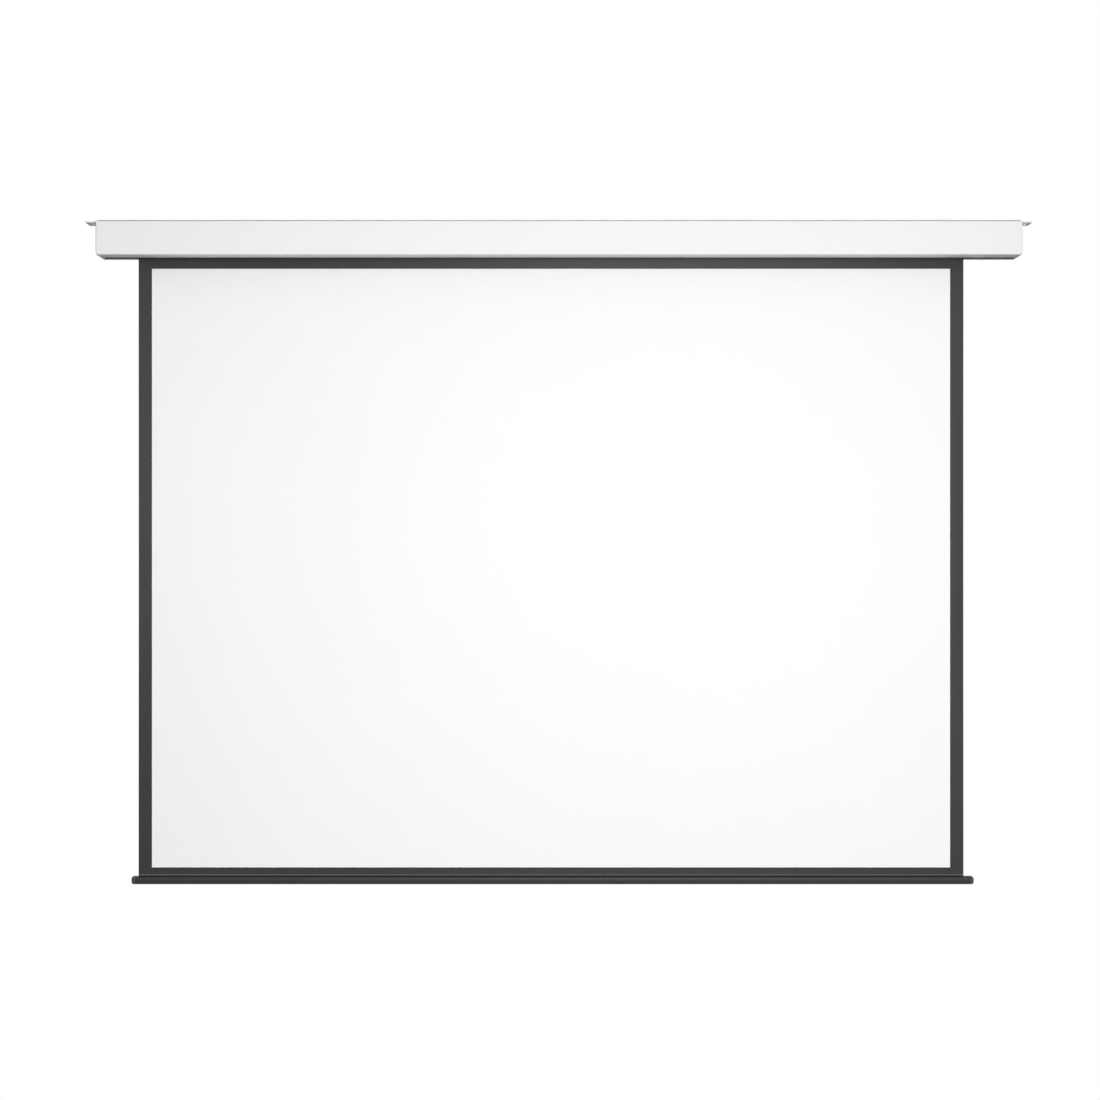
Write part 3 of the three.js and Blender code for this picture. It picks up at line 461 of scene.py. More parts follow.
class Edit:
    """Edit mode on one piece. It starts by edges, with nothing selected."""

    def __init__(self, piece):
        self.piece = piece

    def __enter__(self):
        choose(self.piece)
        bpy.ops.object.mode_set(mode="EDIT")
        bpy.ops.mesh.select_mode(type="EDGE")
        bpy.ops.mesh.select_all(action="DESELECT")
        return self

    def __exit__(self, *error):
        bpy.ops.object.mode_set(mode="OBJECT")

    def everything(self):
        bpy.ops.mesh.select_all(action="SELECT")

    def faces(self, test):
        """Selects the faces whose middle and normal pass the test."""
        self.mark("FACE", lambda face: test(face.calc_center_median(), face.normal))

    def edges(self, test):
        """Selects the edges whose two ends pass the test."""
        self.mark("EDGE", lambda edge: test(edge.verts[0].co, edge.verts[1].co))

    def mark(self, kind, test):
        """Selects the faces or edges that pass the test."""
        bpy.ops.mesh.select_mode(type=kind)
        bpy.ops.mesh.select_all(action="DESELECT")
        mesh = bmesh.from_edit_mesh(self.piece.data)
        for part in mesh.faces if kind == "FACE" else mesh.edges:
            if test(part):
                part.select_set(True)
        bmesh.update_edit_mesh(self.piece.data)

    def extrude(self, x=0, y=0, z=0):
        bpy.ops.mesh.extrude_region_move(TRANSFORM_OT_translate={"value": (x, y, z)})

    def turn(self, angle, axis, middle):
        """Turns what is selected. With no window the operator turns the other way, hence the minus."""
        bpy.ops.transform.rotate(value=-angle, orient_axis=axis, center_override=middle)

    def stretch(self, shares, middle):
        bpy.ops.transform.resize(value=shares, center_override=middle)

    def merge(self):
        """Merges the points that lie on each other."""
        self.everything()
        bpy.ops.mesh.remove_doubles(threshold=0.001 * MM)

    def face_out(self):
        """Turns every face of a closed shape outwards."""
        self.everything()
        bpy.ops.mesh.normals_make_consistent(inside=False)

    def paint(self, slot):
        """Gives what is selected the finish in one of the piece's slots."""
        self.piece.active_material_index = slot
        bpy.ops.object.material_slot_assign()


def near(a, b, slack=0.02 * MM):
    return abs(a - b) < slack


def in_plane(index, place):
    """A test for the edges that lie in the plane across one axis at a place."""
    return lambda a, b: near(a[index], place) and near(b[index], place)


def along_axis(index, *others):
    """A test for the edges that run along one axis, and pass the other tests at their first end."""
    def test(a, b):
        run = b - a
        straight = all(near(run[i], 0) for i in range(3) if i != index) and not near(run[index], 0)
        return straight and all(other(a) for other in others)
    return test


def primitive(name, kind, scale=(1, 1, 1), **settings):
    """Adds a primitive as a piece, with its place and size in its mesh."""
    bpy.ops.object.select_all(action="DESELECT")
    getattr(bpy.ops.mesh, f"primitive_{kind}_add")(**settings)
    piece = bpy.context.object
    piece.scale = scale
    bpy.ops.object.transform_apply(location=True, rotation=True, scale=True)
    piece.name = name
    return piece


def cube(name, low, high):
    low, high = Vector(low), Vector(high)
    return primitive(name, "cube", high - low, size=1, location=(low + high) / 2)


def rods(name, axis, places, low, high, radius, sides=32):
    """Cylinders along one axis, from low to high. Their places are the two other coordinates."""
    index = "XYZ".index(axis)
    made = []
    for place in places:
        middle = (*place[:index], (low + high) / 2, *place[index:])
        made.append(primitive(name, "cylinder", vertices=sides, radius=radius, depth=high - low,
            location=middle, rotation=AXIS_TURNS[axis]))
    return made


def turned(name, axis, base, stations, sides=32, bored=False):
    """A turned piece: a circle that is drawn out from one (distance, radius) station to the next.

    A bored piece's stations go out along its outside and come back along its bore.
    """
    base = Vector(base)
    direction = AXES[axis]
    distance, radius = stations[0]
    piece = primitive(name, "circle", vertices=sides, radius=radius, fill_type="NOTHING" if bored else "NGON",
        location=base + direction * distance, rotation=AXIS_TURNS[axis])
    with Edit(piece) as edit:
        edit.everything()
        for next_distance, next_radius in stations[1:]:
            edit.extrude(*(direction * (next_distance - distance)))
            edit.stretch((next_radius / radius,) * 3, base + direction * next_distance)
            distance, radius = next_distance, next_radius
        if bored:
            edit.mark("EDGE", lambda edge: edge.is_boundary)
            bpy.ops.mesh.bridge_edge_loops()
        edit.merge()
        edit.face_out()
    return piece


def barrel(low, high, radius, edge):
    """Stations of a plain cylinder with broken edges."""
    return [(low, radius - edge), (low + edge, radius), (high - edge, radius), (high, radius - edge)]


def groove(start, length, slope, radius, depth):
    """Stations of a groove with sloping sides."""
    end = start + length
    floor = radius - depth
    return [(start, radius), (start + slope, floor), (end, floor), (end + slope, radius)]


def thread(start, count, pitch, core, crest):
    """Stations of a rolled thread, drawn as rings."""
    shares = ((0.15, core), (0.5, crest), (0.85, core))
    return [(start + (i + share) * pitch, radius) for i in range(count) for share, radius in shares]


def ring_of_points(middle, count, radius, turn=0):
    """Points spaced evenly on a circle, the first at a turn in degrees."""
    angles = [math.radians(360 / count * i + turn) for i in range(count)]
    return [middle + Vector((math.cos(angle), math.sin(angle))) * radius for angle in angles]


def arc(y, z, radius, start_turn, end_turn, steps):
    """Points on an arc about (y, z). The turns are in degrees: 0 points to +Y and 90 to +Z."""
    angles = [math.radians(start_turn + (end_turn - start_turn) * i / steps) for i in range(steps + 1)]
    return [(y + radius * math.cos(angle), z + radius * math.sin(angle)) for angle in angles]


def led_edge(name, path, low_x, high_x):
    """A sheet without thickness: an edge along X that is led through the (y, z) points of a path."""
    first_y, first_z = path[0]
    half = 0.5
    middle = ((low_x + high_x) / 2, first_y, first_z + half)
    piece = primitive(name, "plane", (high_x - low_x, 1, 1), size=1, location=middle, rotation=UPRIGHT)
    with Edit(piece) as edit:
        edit.edges(lambda a, b: a.z > first_z + half and b.z > first_z + half)
        bpy.ops.mesh.delete(type="VERT")
        edit.everything()
        for (y, z), (next_y, next_z) in zip(path, path[1:]):
            edit.extrude(y=next_y - y, z=next_z - z)
    return piece


def drawn(name, outline, low_x, high_x):
    """A bar of one section, as it comes from a die: an edge led round the outline, with its ends closed."""
    piece = led_edge(name, [*outline, outline[0]], low_x, high_x)
    with Edit(piece) as edit:
        edit.merge()
        for x in (low_x, high_x):
            edit.edges(in_plane(0, x))
            bpy.ops.mesh.edge_face_add()
        edit.face_out()
    return piece


def apply(piece, kind, **settings):
    """Adds one modifier and applies it."""
    modifier = piece.modifiers.new(kind, kind)
    for key, value in settings.items():
        setattr(modifier, key, value)
    choose(piece)
    bpy.ops.object.modifier_apply(modifier=modifier.name)
    return piece


def combine(piece, operation, tools):
    """Joins or cuts with each tool, and clears the edges without length that this can leave."""
    for tool in tools:
        apply(piece, "BOOLEAN", operation=operation, object=tool, solver="EXACT")
        bpy.data.objects.remove(tool)
    with Edit(piece) as edit:
        edit.everything()
        bpy.ops.mesh.dissolve_degenerate(threshold=0.002 * MM)
    return piece


def carve(piece, *tools):
    return combine(piece, "DIFFERENCE", tools)


def weld(piece, *others):
    return combine(piece, "UNION", others)


def round_edges(piece, test, radius, segments=5):
    """Rounds the edges whose two ends pass the test."""
    with Edit(piece) as edit:
        edit.edges(test)
        bpy.ops.mesh.bevel(offset=radius, segments=segments, affect="EDGES", clamp_overlap=True)
    return piece


def break_edges(piece, width=0.2 * MM):
    """Breaks the sharp edges, as on any real piece."""
    sharp = math.radians(35)
    return apply(piece, "BEVEL", width=width, segments=2, limit_method="ANGLE", angle_limit=sharp)


def smooth(piece, angle=35):
    """Shades round faces smoothly, with the large flat ones left flat."""
    choose(piece)
    bpy.ops.object.shade_smooth_by_angle(angle=math.radians(angle))
    return apply(piece, "WEIGHTED_NORMAL", keep_sharp=True)


def copy_of(piece, name):
    made = piece.copy()
    made.data = piece.data.copy()
    made.name = name
    bpy.context.scene.collection.objects.link(made)
    return made


def mirror_x(piece, middle=0):
    """Turns a piece into its mirror image across the plane at middle."""
    with Edit(piece) as edit:
        edit.everything()
        edit.stretch((-1, 1, 1), (middle, 0, 0))
        edit.face_out()
    return piece


def turn_and_shift(piece, angle, axis, move):
    """Turns a piece about an axis through the origin, and then moves it."""
    with Edit(piece) as edit:
        edit.everything()
        edit.turn(angle, axis, (0, 0, 0))
        bpy.ops.transform.translate(value=move)
    return piece


def middle_of(node):
    low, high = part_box(node)
    return (low + high) / 2


def hand_over(piece, body, slot, *nodes, finish=None):
    """Gives a finished piece its material and its body, and hides the nodes that it stands for."""
    if finish:
        piece.data.materials.clear()
        piece.data.materials.append(finish)
    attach(piece, body)
    if nodes:
        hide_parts(*nodes)


# Housing

shell_low, shell_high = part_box("housing_shell")
WALL = 1.8 * MM
SLOT_FRONT = shell_low.y + 48 * MM
SLOT_BACK = shell_high.y - 12 * MM
SCREW_BORE = 2.2 * MM
PORT_INSET = 5 * MM
PORTS = [(y, z) for y in (shell_low.y + PORT_INSET, shell_high.y - PORT_INSET)
         for z in (shell_low.z + PORT_INSET, shell_high.z - PORT_INSET)]
KEYHOLE_X = 900 * MM
# The low edge, high edge and depth of the front's two lines: below its top, and where the lower rail starts
TOP_LINE = (shell_high.z - 3.6 * MM, shell_high.z - 1.9 * MM, 1.6 * MM)
LOW_LINE = (shell_low.z + 8.2 * MM, shell_low.z + 9.2 * MM, 0.6 * MM)


def front_line(low, high, depth):
    """The outline of a line pressed into the front, from its lower to its upper edge."""
    front = shell_low.y
    taper = (high - low) * 0.15
    return [(front, low), (front + depth, low + taper), (front + depth, high - taper), (front, high)]


def housing_outline():
    """The section of the housing's sheet: round the outside, from lip to lip, and back along the inside."""
    front, back, low, top = shell_low.y, shell_high.y, shell_low.z, shell_high.z
    corner = 3.5 * MM
    tight = 1.6 * MM
    inner = corner - WALL
    bend = 1 * MM
    fold = 0.8 * MM
    lip_top = low + 8 * MM
    outside = [
        (SLOT_FRONT, lip_top),
        *arc(SLOT_FRONT - bend, low + bend, bend, 0, -90, 3),
        *arc(front + corner, low + corner, corner, -90, -180, 6),
        *front_line(*LOW_LINE),
        *front_line(*TOP_LINE),
        *arc(front + tight, top - tight, tight, 180, 90, 4),
        *arc(back - corner, top - corner, corner, 90, 0, 6),
        *arc(back - corner, low + corner, corner, 0, -90, 6),
        *arc(SLOT_BACK + bend, low + bend, bend, -90, -180, 3),
        (SLOT_BACK, lip_top),
    ]
    inside = [
        (SLOT_BACK + WALL, lip_top),
        *arc(SLOT_BACK + WALL + fold, low + WALL + fold, fold, -180, -90, 3),
        *arc(back - corner, low + corner, inner, -90, 0, 4),
        *arc(back - corner, top - corner, inner, 0, 90, 4),
        *wall_behind_top_line(front, top),
        *arc(front + corner, low + corner, inner, 180, 270, 4),
        *arc(SLOT_FRONT - WALL - fold, low + WALL + fold, fold, -90, 0, 3),
        (SLOT_FRONT - WALL, lip_top),
    ]
    return outside + inside


def wall_behind_top_line(front, top):
    """The inside of the front wall where it goes round the top line, from the roof down."""
    depth = TOP_LINE[2]
    jog = front + WALL + depth
    ramp = 1 * MM
    jog_high = top - 2.8 * MM
    jog_low = top - 5 * MM
    return [(jog + ramp, top - WALL), (jog, jog_high), (jog, jog_low), (front + WALL, jog_low - depth)]


def housing_skin(paint, top_line_shade_finish, slot_shade_finish):
    """A long extruded box that is open along its underside, with its wall turned up at the slot. The faces in
    its top line are painted grey and the lips' faces along the slot black: both are painted shade.
    """
    piece = drawn("housing_skin", housing_outline(), shell_low.x, shell_high.x)
    for finish in (paint, top_line_shade_finish, slot_shade_finish):
        piece.data.materials.append(finish)
    low, high, depth = TOP_LINE
    with Edit(piece) as edit:
        # Painted shade: the faces inside the top line get the grey finish, which darkens the groove.
        edit.faces(lambda middle, normal: low < middle.z < high and 0 < middle.y - shell_low.y < 1.5 * depth
            and abs(normal.x) < 0.1)
        edit.paint(1)
        # Painted shade: the lips' faces along the slot get the black finish, darker than the white paint
        # around them.
        edit.faces(lambda middle, normal: abs(normal.y) > 0.9 and middle.z < 0
            and any(near(middle.y, y) for y in (SLOT_FRONT, SLOT_BACK)))
        edit.paint(2)
    return break_edges(piece)


def housing(*finishes):
    """The skin with its four screw ports, two keyholes and the slot for the limit screws' key."""
    port_radius = 3.6 * MM
    inset = 0.6 * MM
    piece = housing_skin(*finishes)
    weld(piece, *rods("port", "X", PORTS, shell_low.x + inset, shell_high.x - inset, port_radius, 24))
    bores = rods("bore", "X", PORTS, shell_low.x - OVERRUN, shell_high.x + OVERRUN, SCREW_BORE, 16)
    carve(piece, *bores, keyhole_tool(-KEYHOLE_X), keyhole_tool(KEYHOLE_X), access_tool())
    return smooth(piece)


def keyhole_tool(x):
    """A round hole with a narrower slot above it, in one solid."""
    head_radius = 6 * MM
    slot = 3 * MM
    low = shell_high.z - 40 * MM
    high = low + 14 * MM
    front = -WALL - OVERRUN
    back = OVERRUN
    head = rods("keyhole", "Y", [(x, low)], front, back, head_radius, 40)[0]
    neck = cube("neck", (x - slot, front, low), (x + slot, back, high))
    return weld(head, neck, *rods("end", "Y", [(x, high)], front, back, slot, 28))


def access_tool():
    """A long hole with round ends, below the two limit screws."""
    middle = (middle_of("upper_limit_screw") + middle_of("lower_limit_screw")) / 2
    middle.z = shell_low.z
    half = Vector((17 * MM, 6 * MM, 3 * MM))
    piece = cube("access", middle - half, middle + half)
    return round_edges(piece, along_axis(2), half.y - 0.1 * MM, 8)


# End caps

cap_low, cap_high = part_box("right_end_cap")
CAP_MIDDLE = (cap_low.y + cap_high.y) / 2
FLANGE_INNER = shell_high.x
FLANGE_OUTER = FLANGE_INNER + 6 * MM
SCREW_SINK = 2.7 * MM
CABLE_WAY = 6 * MM
TONGUE_HALF = 25 * MM


def end_cap(name, side):
    """A moulded cap with a rounded outer edge, an ear at its top, and tabs that reach into the housing."""
    sink_radius = 4.2 * MM
    piece = cube(name, (FLANGE_INNER, cap_low.y, cap_low.z), (FLANGE_OUTER, cap_high.y, cap_high.z))
    round_edges(piece, along_axis(0), 4.4 * MM, 6)
    round_edges(piece, in_plane(0, FLANGE_OUTER), 4 * MM, 6)
    weld(break_edges(piece), break_edges(ear()), *[break_edges(tab) for tab in tabs()])
    inner = FLANGE_INNER - OVERRUN
    outer = FLANGE_OUTER + OVERRUN
    holes = rods("hole", "X", PORTS, inner, outer, SCREW_BORE, 24)
    holes += rods("sink", "X", PORTS, FLANGE_OUTER - SCREW_SINK, outer, sink_radius)
    if side > 0:
        holes += rods("way", "X", [middle_of("cable_grommet").yz], inner, outer, CABLE_WAY)
    carve(piece, *holes)
    if side < 0:
        mirror_x(piece)
    return smooth(piece)


def ear():
    """The hanging ear: a tongue at the cap's top with a slot, and a fillet under its root."""
    thickness = 4 * MM
    fillet = 8 * MM
    root_depth = 5 * MM
    beyond = 30 * MM
    foot = FLANGE_OUTER - 0.05 * MM
    under = cap_high.z - thickness
    piece = cube("ear", (FLANGE_OUTER - root_depth, CAP_MIDDLE - TONGUE_HALF, under - fillet),
        (cap_high.x, CAP_MIDDLE + TONGUE_HALF, cap_high.z))
    hollow = cube("hollow", (foot, CAP_MIDDLE - 2 * TONGUE_HALF, under - beyond),
        (cap_high.x + beyond, CAP_MIDDLE + 2 * TONGUE_HALF, under))
    round_edges(hollow, along_axis(1, lambda a: near(a.x, foot) and near(a.z, under)), fillet, 8)
    carve(piece, hollow)
    round_edges(piece, along_axis(2, lambda a: near(a.x, cap_high.x)), 6 * MM, 6)
    slot_x = FLANGE_OUTER + 16.5 * MM
    half_x = 4 * MM
    half_y = 9 * MM
    slot = cube("slot", (slot_x - half_x, CAP_MIDDLE - half_y, under - OVERRUN),
        (slot_x + half_x, CAP_MIDDLE + half_y, cap_high.z + OVERRUN))
    round_edges(slot, along_axis(2), half_x - 0.05 * MM, 8)
    return carve(piece, slot)


def tabs():
    """The tongues that locate the cap inside the housing's top, front and back walls."""
    half = TONGUE_HALF
    thickness = 2 * MM
    inner = cap_low.x
    into = FLANGE_INNER + 1 * MM
    top = cap_high.z - WALL - FIT
    front = cap_low.y + WALL + FIT
    back = cap_high.y - WALL - FIT
    return [
        cube("top_tab", (inner, CAP_MIDDLE - half, top - thickness), (into, CAP_MIDDLE + half, top)),
        cube("front_tab", (inner, front, -half), (into, front + thickness, half)),
        cube("back_tab", (inner, back - thickness, -half), (into, back, half)),
    ]


# Screws

# Shares of the head's height and radius, from the top of the dome to its underside
DOME_SHARES = ((1, 0.45), (0.97, 0.62), (0.8, 0.86), (0.5, 0.97), (0.2, 1), (0, 1))
# The radius and height of the head, and the radius and length of the shank
SCREW_KINDS = {
    "cap": (3.9 * MM, 2.4 * MM, 1.9 * MM, 16 * MM),
    "bracket": (4.2 * MM, 2.4 * MM, 2.0 * MM, 6.5 * MM),
    "lid": (2.6 * MM, 1.6 * MM, 1.3 * MM, 8 * MM),
    "box": (2.6 * MM, 1.6 * MM, 1.3 * MM, 6 * MM),
}
SCREWS = [
    *[(f"left_cap_screw_{i}", "cap", "+X") for i in range(1, 5)],
    *[(f"right_cap_screw_{i}", "cap", "-X") for i in range(1, 5)],
    *[(f"idler_bracket_screw_{place}", "bracket", "-X") for place in ("upper", "lower")],
    *[(f"motor_bracket_screw_{place}", "bracket", "+X") for place in ("upper", "lower")],
    *[(f"motor_head_screw_{place}", "bracket", "-X") for place in ("front", "rear")],
    *[(f"terminal_lid_screw_{i}", "lid", "+Y") for i in (1, 2)],
    *[(f"terminal_box_screw_{i}", "box", "+X") for i in (1, 2)],
]
DRIVE_TURNS = {"+X": 0, "-X": math.pi, "+Y": math.pi / 2}


def pan_screw(name, head, head_height, shank, length):
    """A screw along +X with its head's underside at the origin, a cross recess and a rolled thread."""
    pitch = shank * 0.75
    core = shank * 0.8
    count = int((length - 1.5 * shank) / pitch)
    dome = [(-head_height * height, head * width) for height, width in DOME_SHARES]
    point = [((count + 0.3) * pitch, core), (length - core * 0.3, core * 0.7), (length, core * 0.25)]
    stations = [*dome, (0, core), *thread(0, count, pitch, core, shank), *point]
    return carve(turned(name, "X", (0, 0, 0), stations, 24), recess_tool(head, head_height))


def recess_tool(head, head_height):
    """A tapered cross, cut with its narrow end into the head."""
    half_width = head * 0.12
    reach = head * 0.58
    outside = -head_height * 1.5
    floor = -head_height * 0.25
    arms = []
    for half_y, half_z, taper in ((reach, half_width, (1, 0.45, 0.9)), (half_width, reach, (1, 0.9, 0.45))):
        arm = cube("arm", (outside, -half_y, -half_z), (floor, half_y, half_z))
        with Edit(arm) as edit:
            edit.faces(lambda middle, normal: normal.x > 0.9)
            edit.stretch(taper, (floor, 0, 0))
        arms.append(arm)
    return weld(*arms)


def seat_of(node, direction, head_height):
    """Where the underside of a screw's head lies, from its node's box."""
    low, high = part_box(node)
    seat = middle_of(node)
    axis = "XY".index(direction[1])
    seat[axis] = low[axis] + head_height if direction[0] == "+" else high[axis] - head_height
    return seat


def make_screws(finish):
    """One screw of each kind, copied, turned the way that it drives and set on its seat."""
    patterns = {kind: smooth(pan_screw(f"{kind}_pattern", *sizes)) for kind, sizes in SCREW_KINDS.items()}
    for node, kind, direction in SCREWS:
        piece = copy_of(patterns[kind], node.replace("screw", "pan_screw"))
        turn_and_shift(piece, DRIVE_TURNS[direction], "Z", seat_of(node, direction, SCREW_KINDS[kind][1]))
        hand_over(piece, "root", "zinc_steel", node, finish=finish)
    for pattern in patterns.values():
        bpy.data.objects.remove(pattern)


# Grommet

def grommet():
    """A rubber grommet: two rims, a neck through the wall between them, and a bore for the cable."""
    low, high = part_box("cable_grommet")
    middle = middle_of("cable_grommet")
    rim = (high.z - low.z) / 2
    neck = CABLE_WAY - FIT
    bore = 4 * MM
    round_off = 0.5 * MM
    inside = FLANGE_INNER - 2 * MM
    half = [(low.x, bore + round_off), (low.x, rim - 1.2 * MM), (low.x + 0.6 * MM, rim - 0.2 * MM),
            (inside - 0.4 * MM, rim), (inside, rim - 0.3 * MM), (inside, neck)]
    other_half = [(FLANGE_OUTER, neck), (FLANGE_OUTER, rim - 0.3 * MM), (FLANGE_OUTER + 0.4 * MM, rim),
                  (high.x - 0.6 * MM, rim - 0.2 * MM), (high.x, rim - 1.2 * MM), (high.x, bore + round_off)]
    stations = [*half, *other_half, (high.x - round_off, bore), (low.x + round_off, bore)]
    return smooth(turned("rubber_grommet", "X", (0, middle.y, middle.z), stations, 40, bored=True))


# Roller

tube_low, tube_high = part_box("roller_tube")
TUBE_RADIUS = (tube_high.z - tube_low.z) / 2
TUBE_BORE = TUBE_RADIUS - 1.5 * MM
AXIS = Vector((0, *middle_of("roller_tube").yz))


def roller_tube():
    """The drawn tube, with the bores of the rivets that hold the drive wheel."""
    low, high = tube_low.x, tube_high.x
    stations = [*barrel(low, high, TUBE_RADIUS, 0.3 * MM), (high, TUBE_BORE), (low, TUBE_BORE)]
    piece = turned("drawn_tube", "X", AXIS, stations, 72, bored=True)
    rivets = [(middle_of("tube_rivet_upper").x, AXIS.y)]
    bores = rods("bore", "Z", rivets, tube_low.z - OVERRUN, tube_high.z + OVERRUN, 2.3 * MM, 24)
    return smooth(carve(piece, *bores))


def tube_plug():
    """The idler plug: a flange against the tube's end, a ribbed body in its bore, and lightening pockets."""
    low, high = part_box("idler_plug")
    seat = tube_low.x
    body = TUBE_BORE - FIT
    bore = 8.3 * MM
    slope = 1 * MM
    flange_edge = [(low.x, TUBE_RADIUS - 0.8 * MM), (low.x + 0.6 * MM, TUBE_RADIUS)]
    stations = [*flange_edge, (seat, TUBE_RADIUS), (seat, body)]
    for place in (5 * MM, 15 * MM, 25 * MM):
        stations += groove(seat + place, 5 * MM, slope, body, slope)
    stations += [(high.x - slope, body), (high.x, body - slope), (high.x, bore), (low.x, bore)]
    piece = turned("tube_plug", "X", AXIS, stations, 64, bored=True)
    places = ring_of_points(AXIS.yz, 6, 16 * MM)
    pocket_floor = low.x + 1.2 * MM
    return smooth(carve(piece, *rods("pocket", "X", places, low.x - OVERRUN, pocket_floor, 4.5 * MM, 24)))


def plug_bush():
    """The nylon bush in the plug, with the edges of its bore broken too."""
    low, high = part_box("idler_bush")
    edge = 0.4 * MM
    outer = (high.z - low.z) / 2
    bore = outer - 2.7 * MM
    inside = [(high.x, bore + edge), (high.x - edge, bore), (low.x + edge, bore), (low.x, bore + edge)]
    return smooth(turned("plug_bush", "X", AXIS, barrel(low.x, high.x, outer, edge) + inside, 48, bored=True))


def bearing_pin():
    """The pin that the idler bush turns on: a threaded tail, a flange and a polished journal."""
    low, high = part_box("idler_pin")
    bracket_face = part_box("idler_bracket")[1].x
    shoulder = tube_low.x - 2.5 * MM
    edge = 0.4 * MM
    core = 3.4 * MM
    flange = (high.z - low.z) / 2
    journal = 5 * MM
    tip = 1 * MM
    stations = [(low.x, core - edge), *thread(low.x, 5, 1.25 * MM, core, 4 * MM), (bracket_face, core)]
    stations += barrel(bracket_face, shoulder, flange, edge)
    stations += [(shoulder, journal), (high.x - tip, journal), (high.x, journal - tip)]
    return smooth(turned("bearing_pin", "X", AXIS, stations, 40))


def pin_nut():
    """A hexagon nut with its corners turned off."""
    low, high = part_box("idler_pin_nut")
    corner = (high.y - low.y) / 2
    flat = (high.z - low.z) / 2
    edge = 0.7 * MM
    clear = corner + 0.1 * MM
    piece = rods("pin_nut", "X", [AXIS.yz], low.x, high.x, corner, 6)[0]
    with Edit(piece) as edit:
        edit.everything()
        edit.turn(math.radians(30), "X", AXIS)
    stations = [(low.x, flat), (low.x + edge, clear), (high.x - edge, clear), (high.x, flat)]
    combine(piece, "INTERSECT", [turned("blank", "X", AXIS, stations, 48)])
    bore = rods("bore", "X", [AXIS.yz], low.x - OVERRUN, high.x + OVERRUN, 4.1 * MM)
    return smooth(carve(piece, *bore), 25)


def counting_crown():
    """The ring in the tube's motor end that the limit switches count by."""
    low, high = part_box("limit_crown")
    seat = tube_high.x
    body = TUBE_BORE - FIT
    bore = 17.8 * MM
    edge = 0.6 * MM
    land = 8 * MM
    slope = 1 * MM
    waist = groove(low.x + land, seat - low.x - 2 * land - slope, slope, body, slope)
    stations = [(low.x, body - edge), (low.x + edge, body), *waist, (seat, body), (seat, TUBE_RADIUS),
                (high.x - edge, TUBE_RADIUS), (high.x, TUBE_RADIUS - edge), (high.x, bore), (low.x, bore)]
    return smooth(turned("counting_crown", "X", AXIS, stations, 64, bored=True))


# Fabric

back_low, back_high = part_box("black_backing")
face_low, face_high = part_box("viewing_face")
SHEET_WIDTH = back_high.x - back_low.x
SHEET_HEIGHT = back_high.z - back_low.z
SHEET_MIDDLE = (face_low.y + back_high.y) / 2
SHEET_THICKNESS = 0.45 * MM
# Each of the cloth's waves: its turn a metre across and a metre up, where it starts, and its height
WAVES = ((9.1, 0, 0.6, 0.45 * MM), (17.3, 0.8, 2.1, 0.27 * MM))
CURL_WIDTH = 0.06
CURL_DEPTH = 1.6 * MM


def thicken(piece, **settings):
    """Gives a cloth its thickness, half of it on each side."""
    return smooth(apply(piece, "SOLIDIFY", thickness=SHEET_THICKNESS, offset=0, **settings), 60)


def hanging_sheet(face_finish, back_finish):
    """The lowered cloth: almost flat, with the shallow upright waves that an untensioned cloth keeps."""
    middle = ((back_low.x + back_high.x) / 2, SHEET_MIDDLE, (back_low.z + back_high.z) / 2)
    piece = primitive("hanging_sheet", "grid", (SHEET_WIDTH, SHEET_HEIGHT, 1), size=1, x_subdivisions=150,
        y_subdivisions=60, location=middle, rotation=UPRIGHT)
    for vertex in piece.data.vertices:
        vertex.co.y += sheet_wave(vertex.co.x, vertex.co.z)
    metre_map(piece, back_low.x, back_low.z)
    for finish in (face_finish, back_finish):
        piece.data.materials.append(finish)
    return thicken(piece, material_offset=1, material_offset_rim=1)


def sheet_wave(x, z):
    """How far the cloth stands out of its plane: nothing at its top and at the bar, most in between."""
    share = (z - back_low.z) / SHEET_HEIGHT
    hang = math.sin(math.pi * min(max(share, 0), 1)) ** 2
    waves = sum(math.sin(x * across + z * up + first) * height for across, up, first, height in WAVES)
    edge = min(x - back_low.x, back_high.x - x)
    curl = max(0, 1 - edge / CURL_WIDTH) ** 2 * CURL_DEPTH
    return (waves + curl) * hang


def metre_map(piece, left, low):
    """A UV map in metres from the sheet's lower left corner."""
    layer = piece.data.uv_layers.active or piece.data.uv_layers.new(name="metres")
    for loop in piece.data.loops:
        point = piece.data.vertices[loop.vertex_index].co
        layer.data[loop.index].uv = (point.x - left, point.z - low)


def wound_turns():
    """The turns that stay on the tube, a strip whose radius grows, and the strip's flat length."""
    low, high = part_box("fabric_roll")
    middle = middle_of("fabric_roll")
    inner = 25.3 * MM + SHEET_THICKNESS / 2
    pitch = SHEET_THICKNESS + 0.02 * MM
    turns = 1.9
    steps = 110
    path = []
    for step in range(steps + 1):
        wound = turns * step / steps
        angle = 2 * math.pi * wound
        radius = inner + pitch * wound
        path.append((middle.y + radius * math.cos(angle), middle.z - radius * math.sin(angle)))
    piece = thicken(led_edge("wound_turns", path, low.x, high.x))
    return piece, (high.x - low.x, 2 * math.pi * turns * (inner + pitch * turns / 2))


def folded_hem():
    """The cloth's lower end, folded round the rod and closed above it."""
    low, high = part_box("bottom_hem")
    rod = middle_of("hem_rod")
    radius = 2.8 * MM + SHEET_THICKNESS / 2
    neck = SHEET_THICKNESS / 2 + 0.03 * MM
    opening = math.degrees(math.asin(neck / radius))
    fold = arc(rod.y, rod.z, radius, 90 + opening, 450 - opening, 22)
    path = [(rod.y - neck, high.z), *fold, (rod.y + neck, high.z)]
    return thicken(led_edge("folded_hem", path, low.x, high.x))


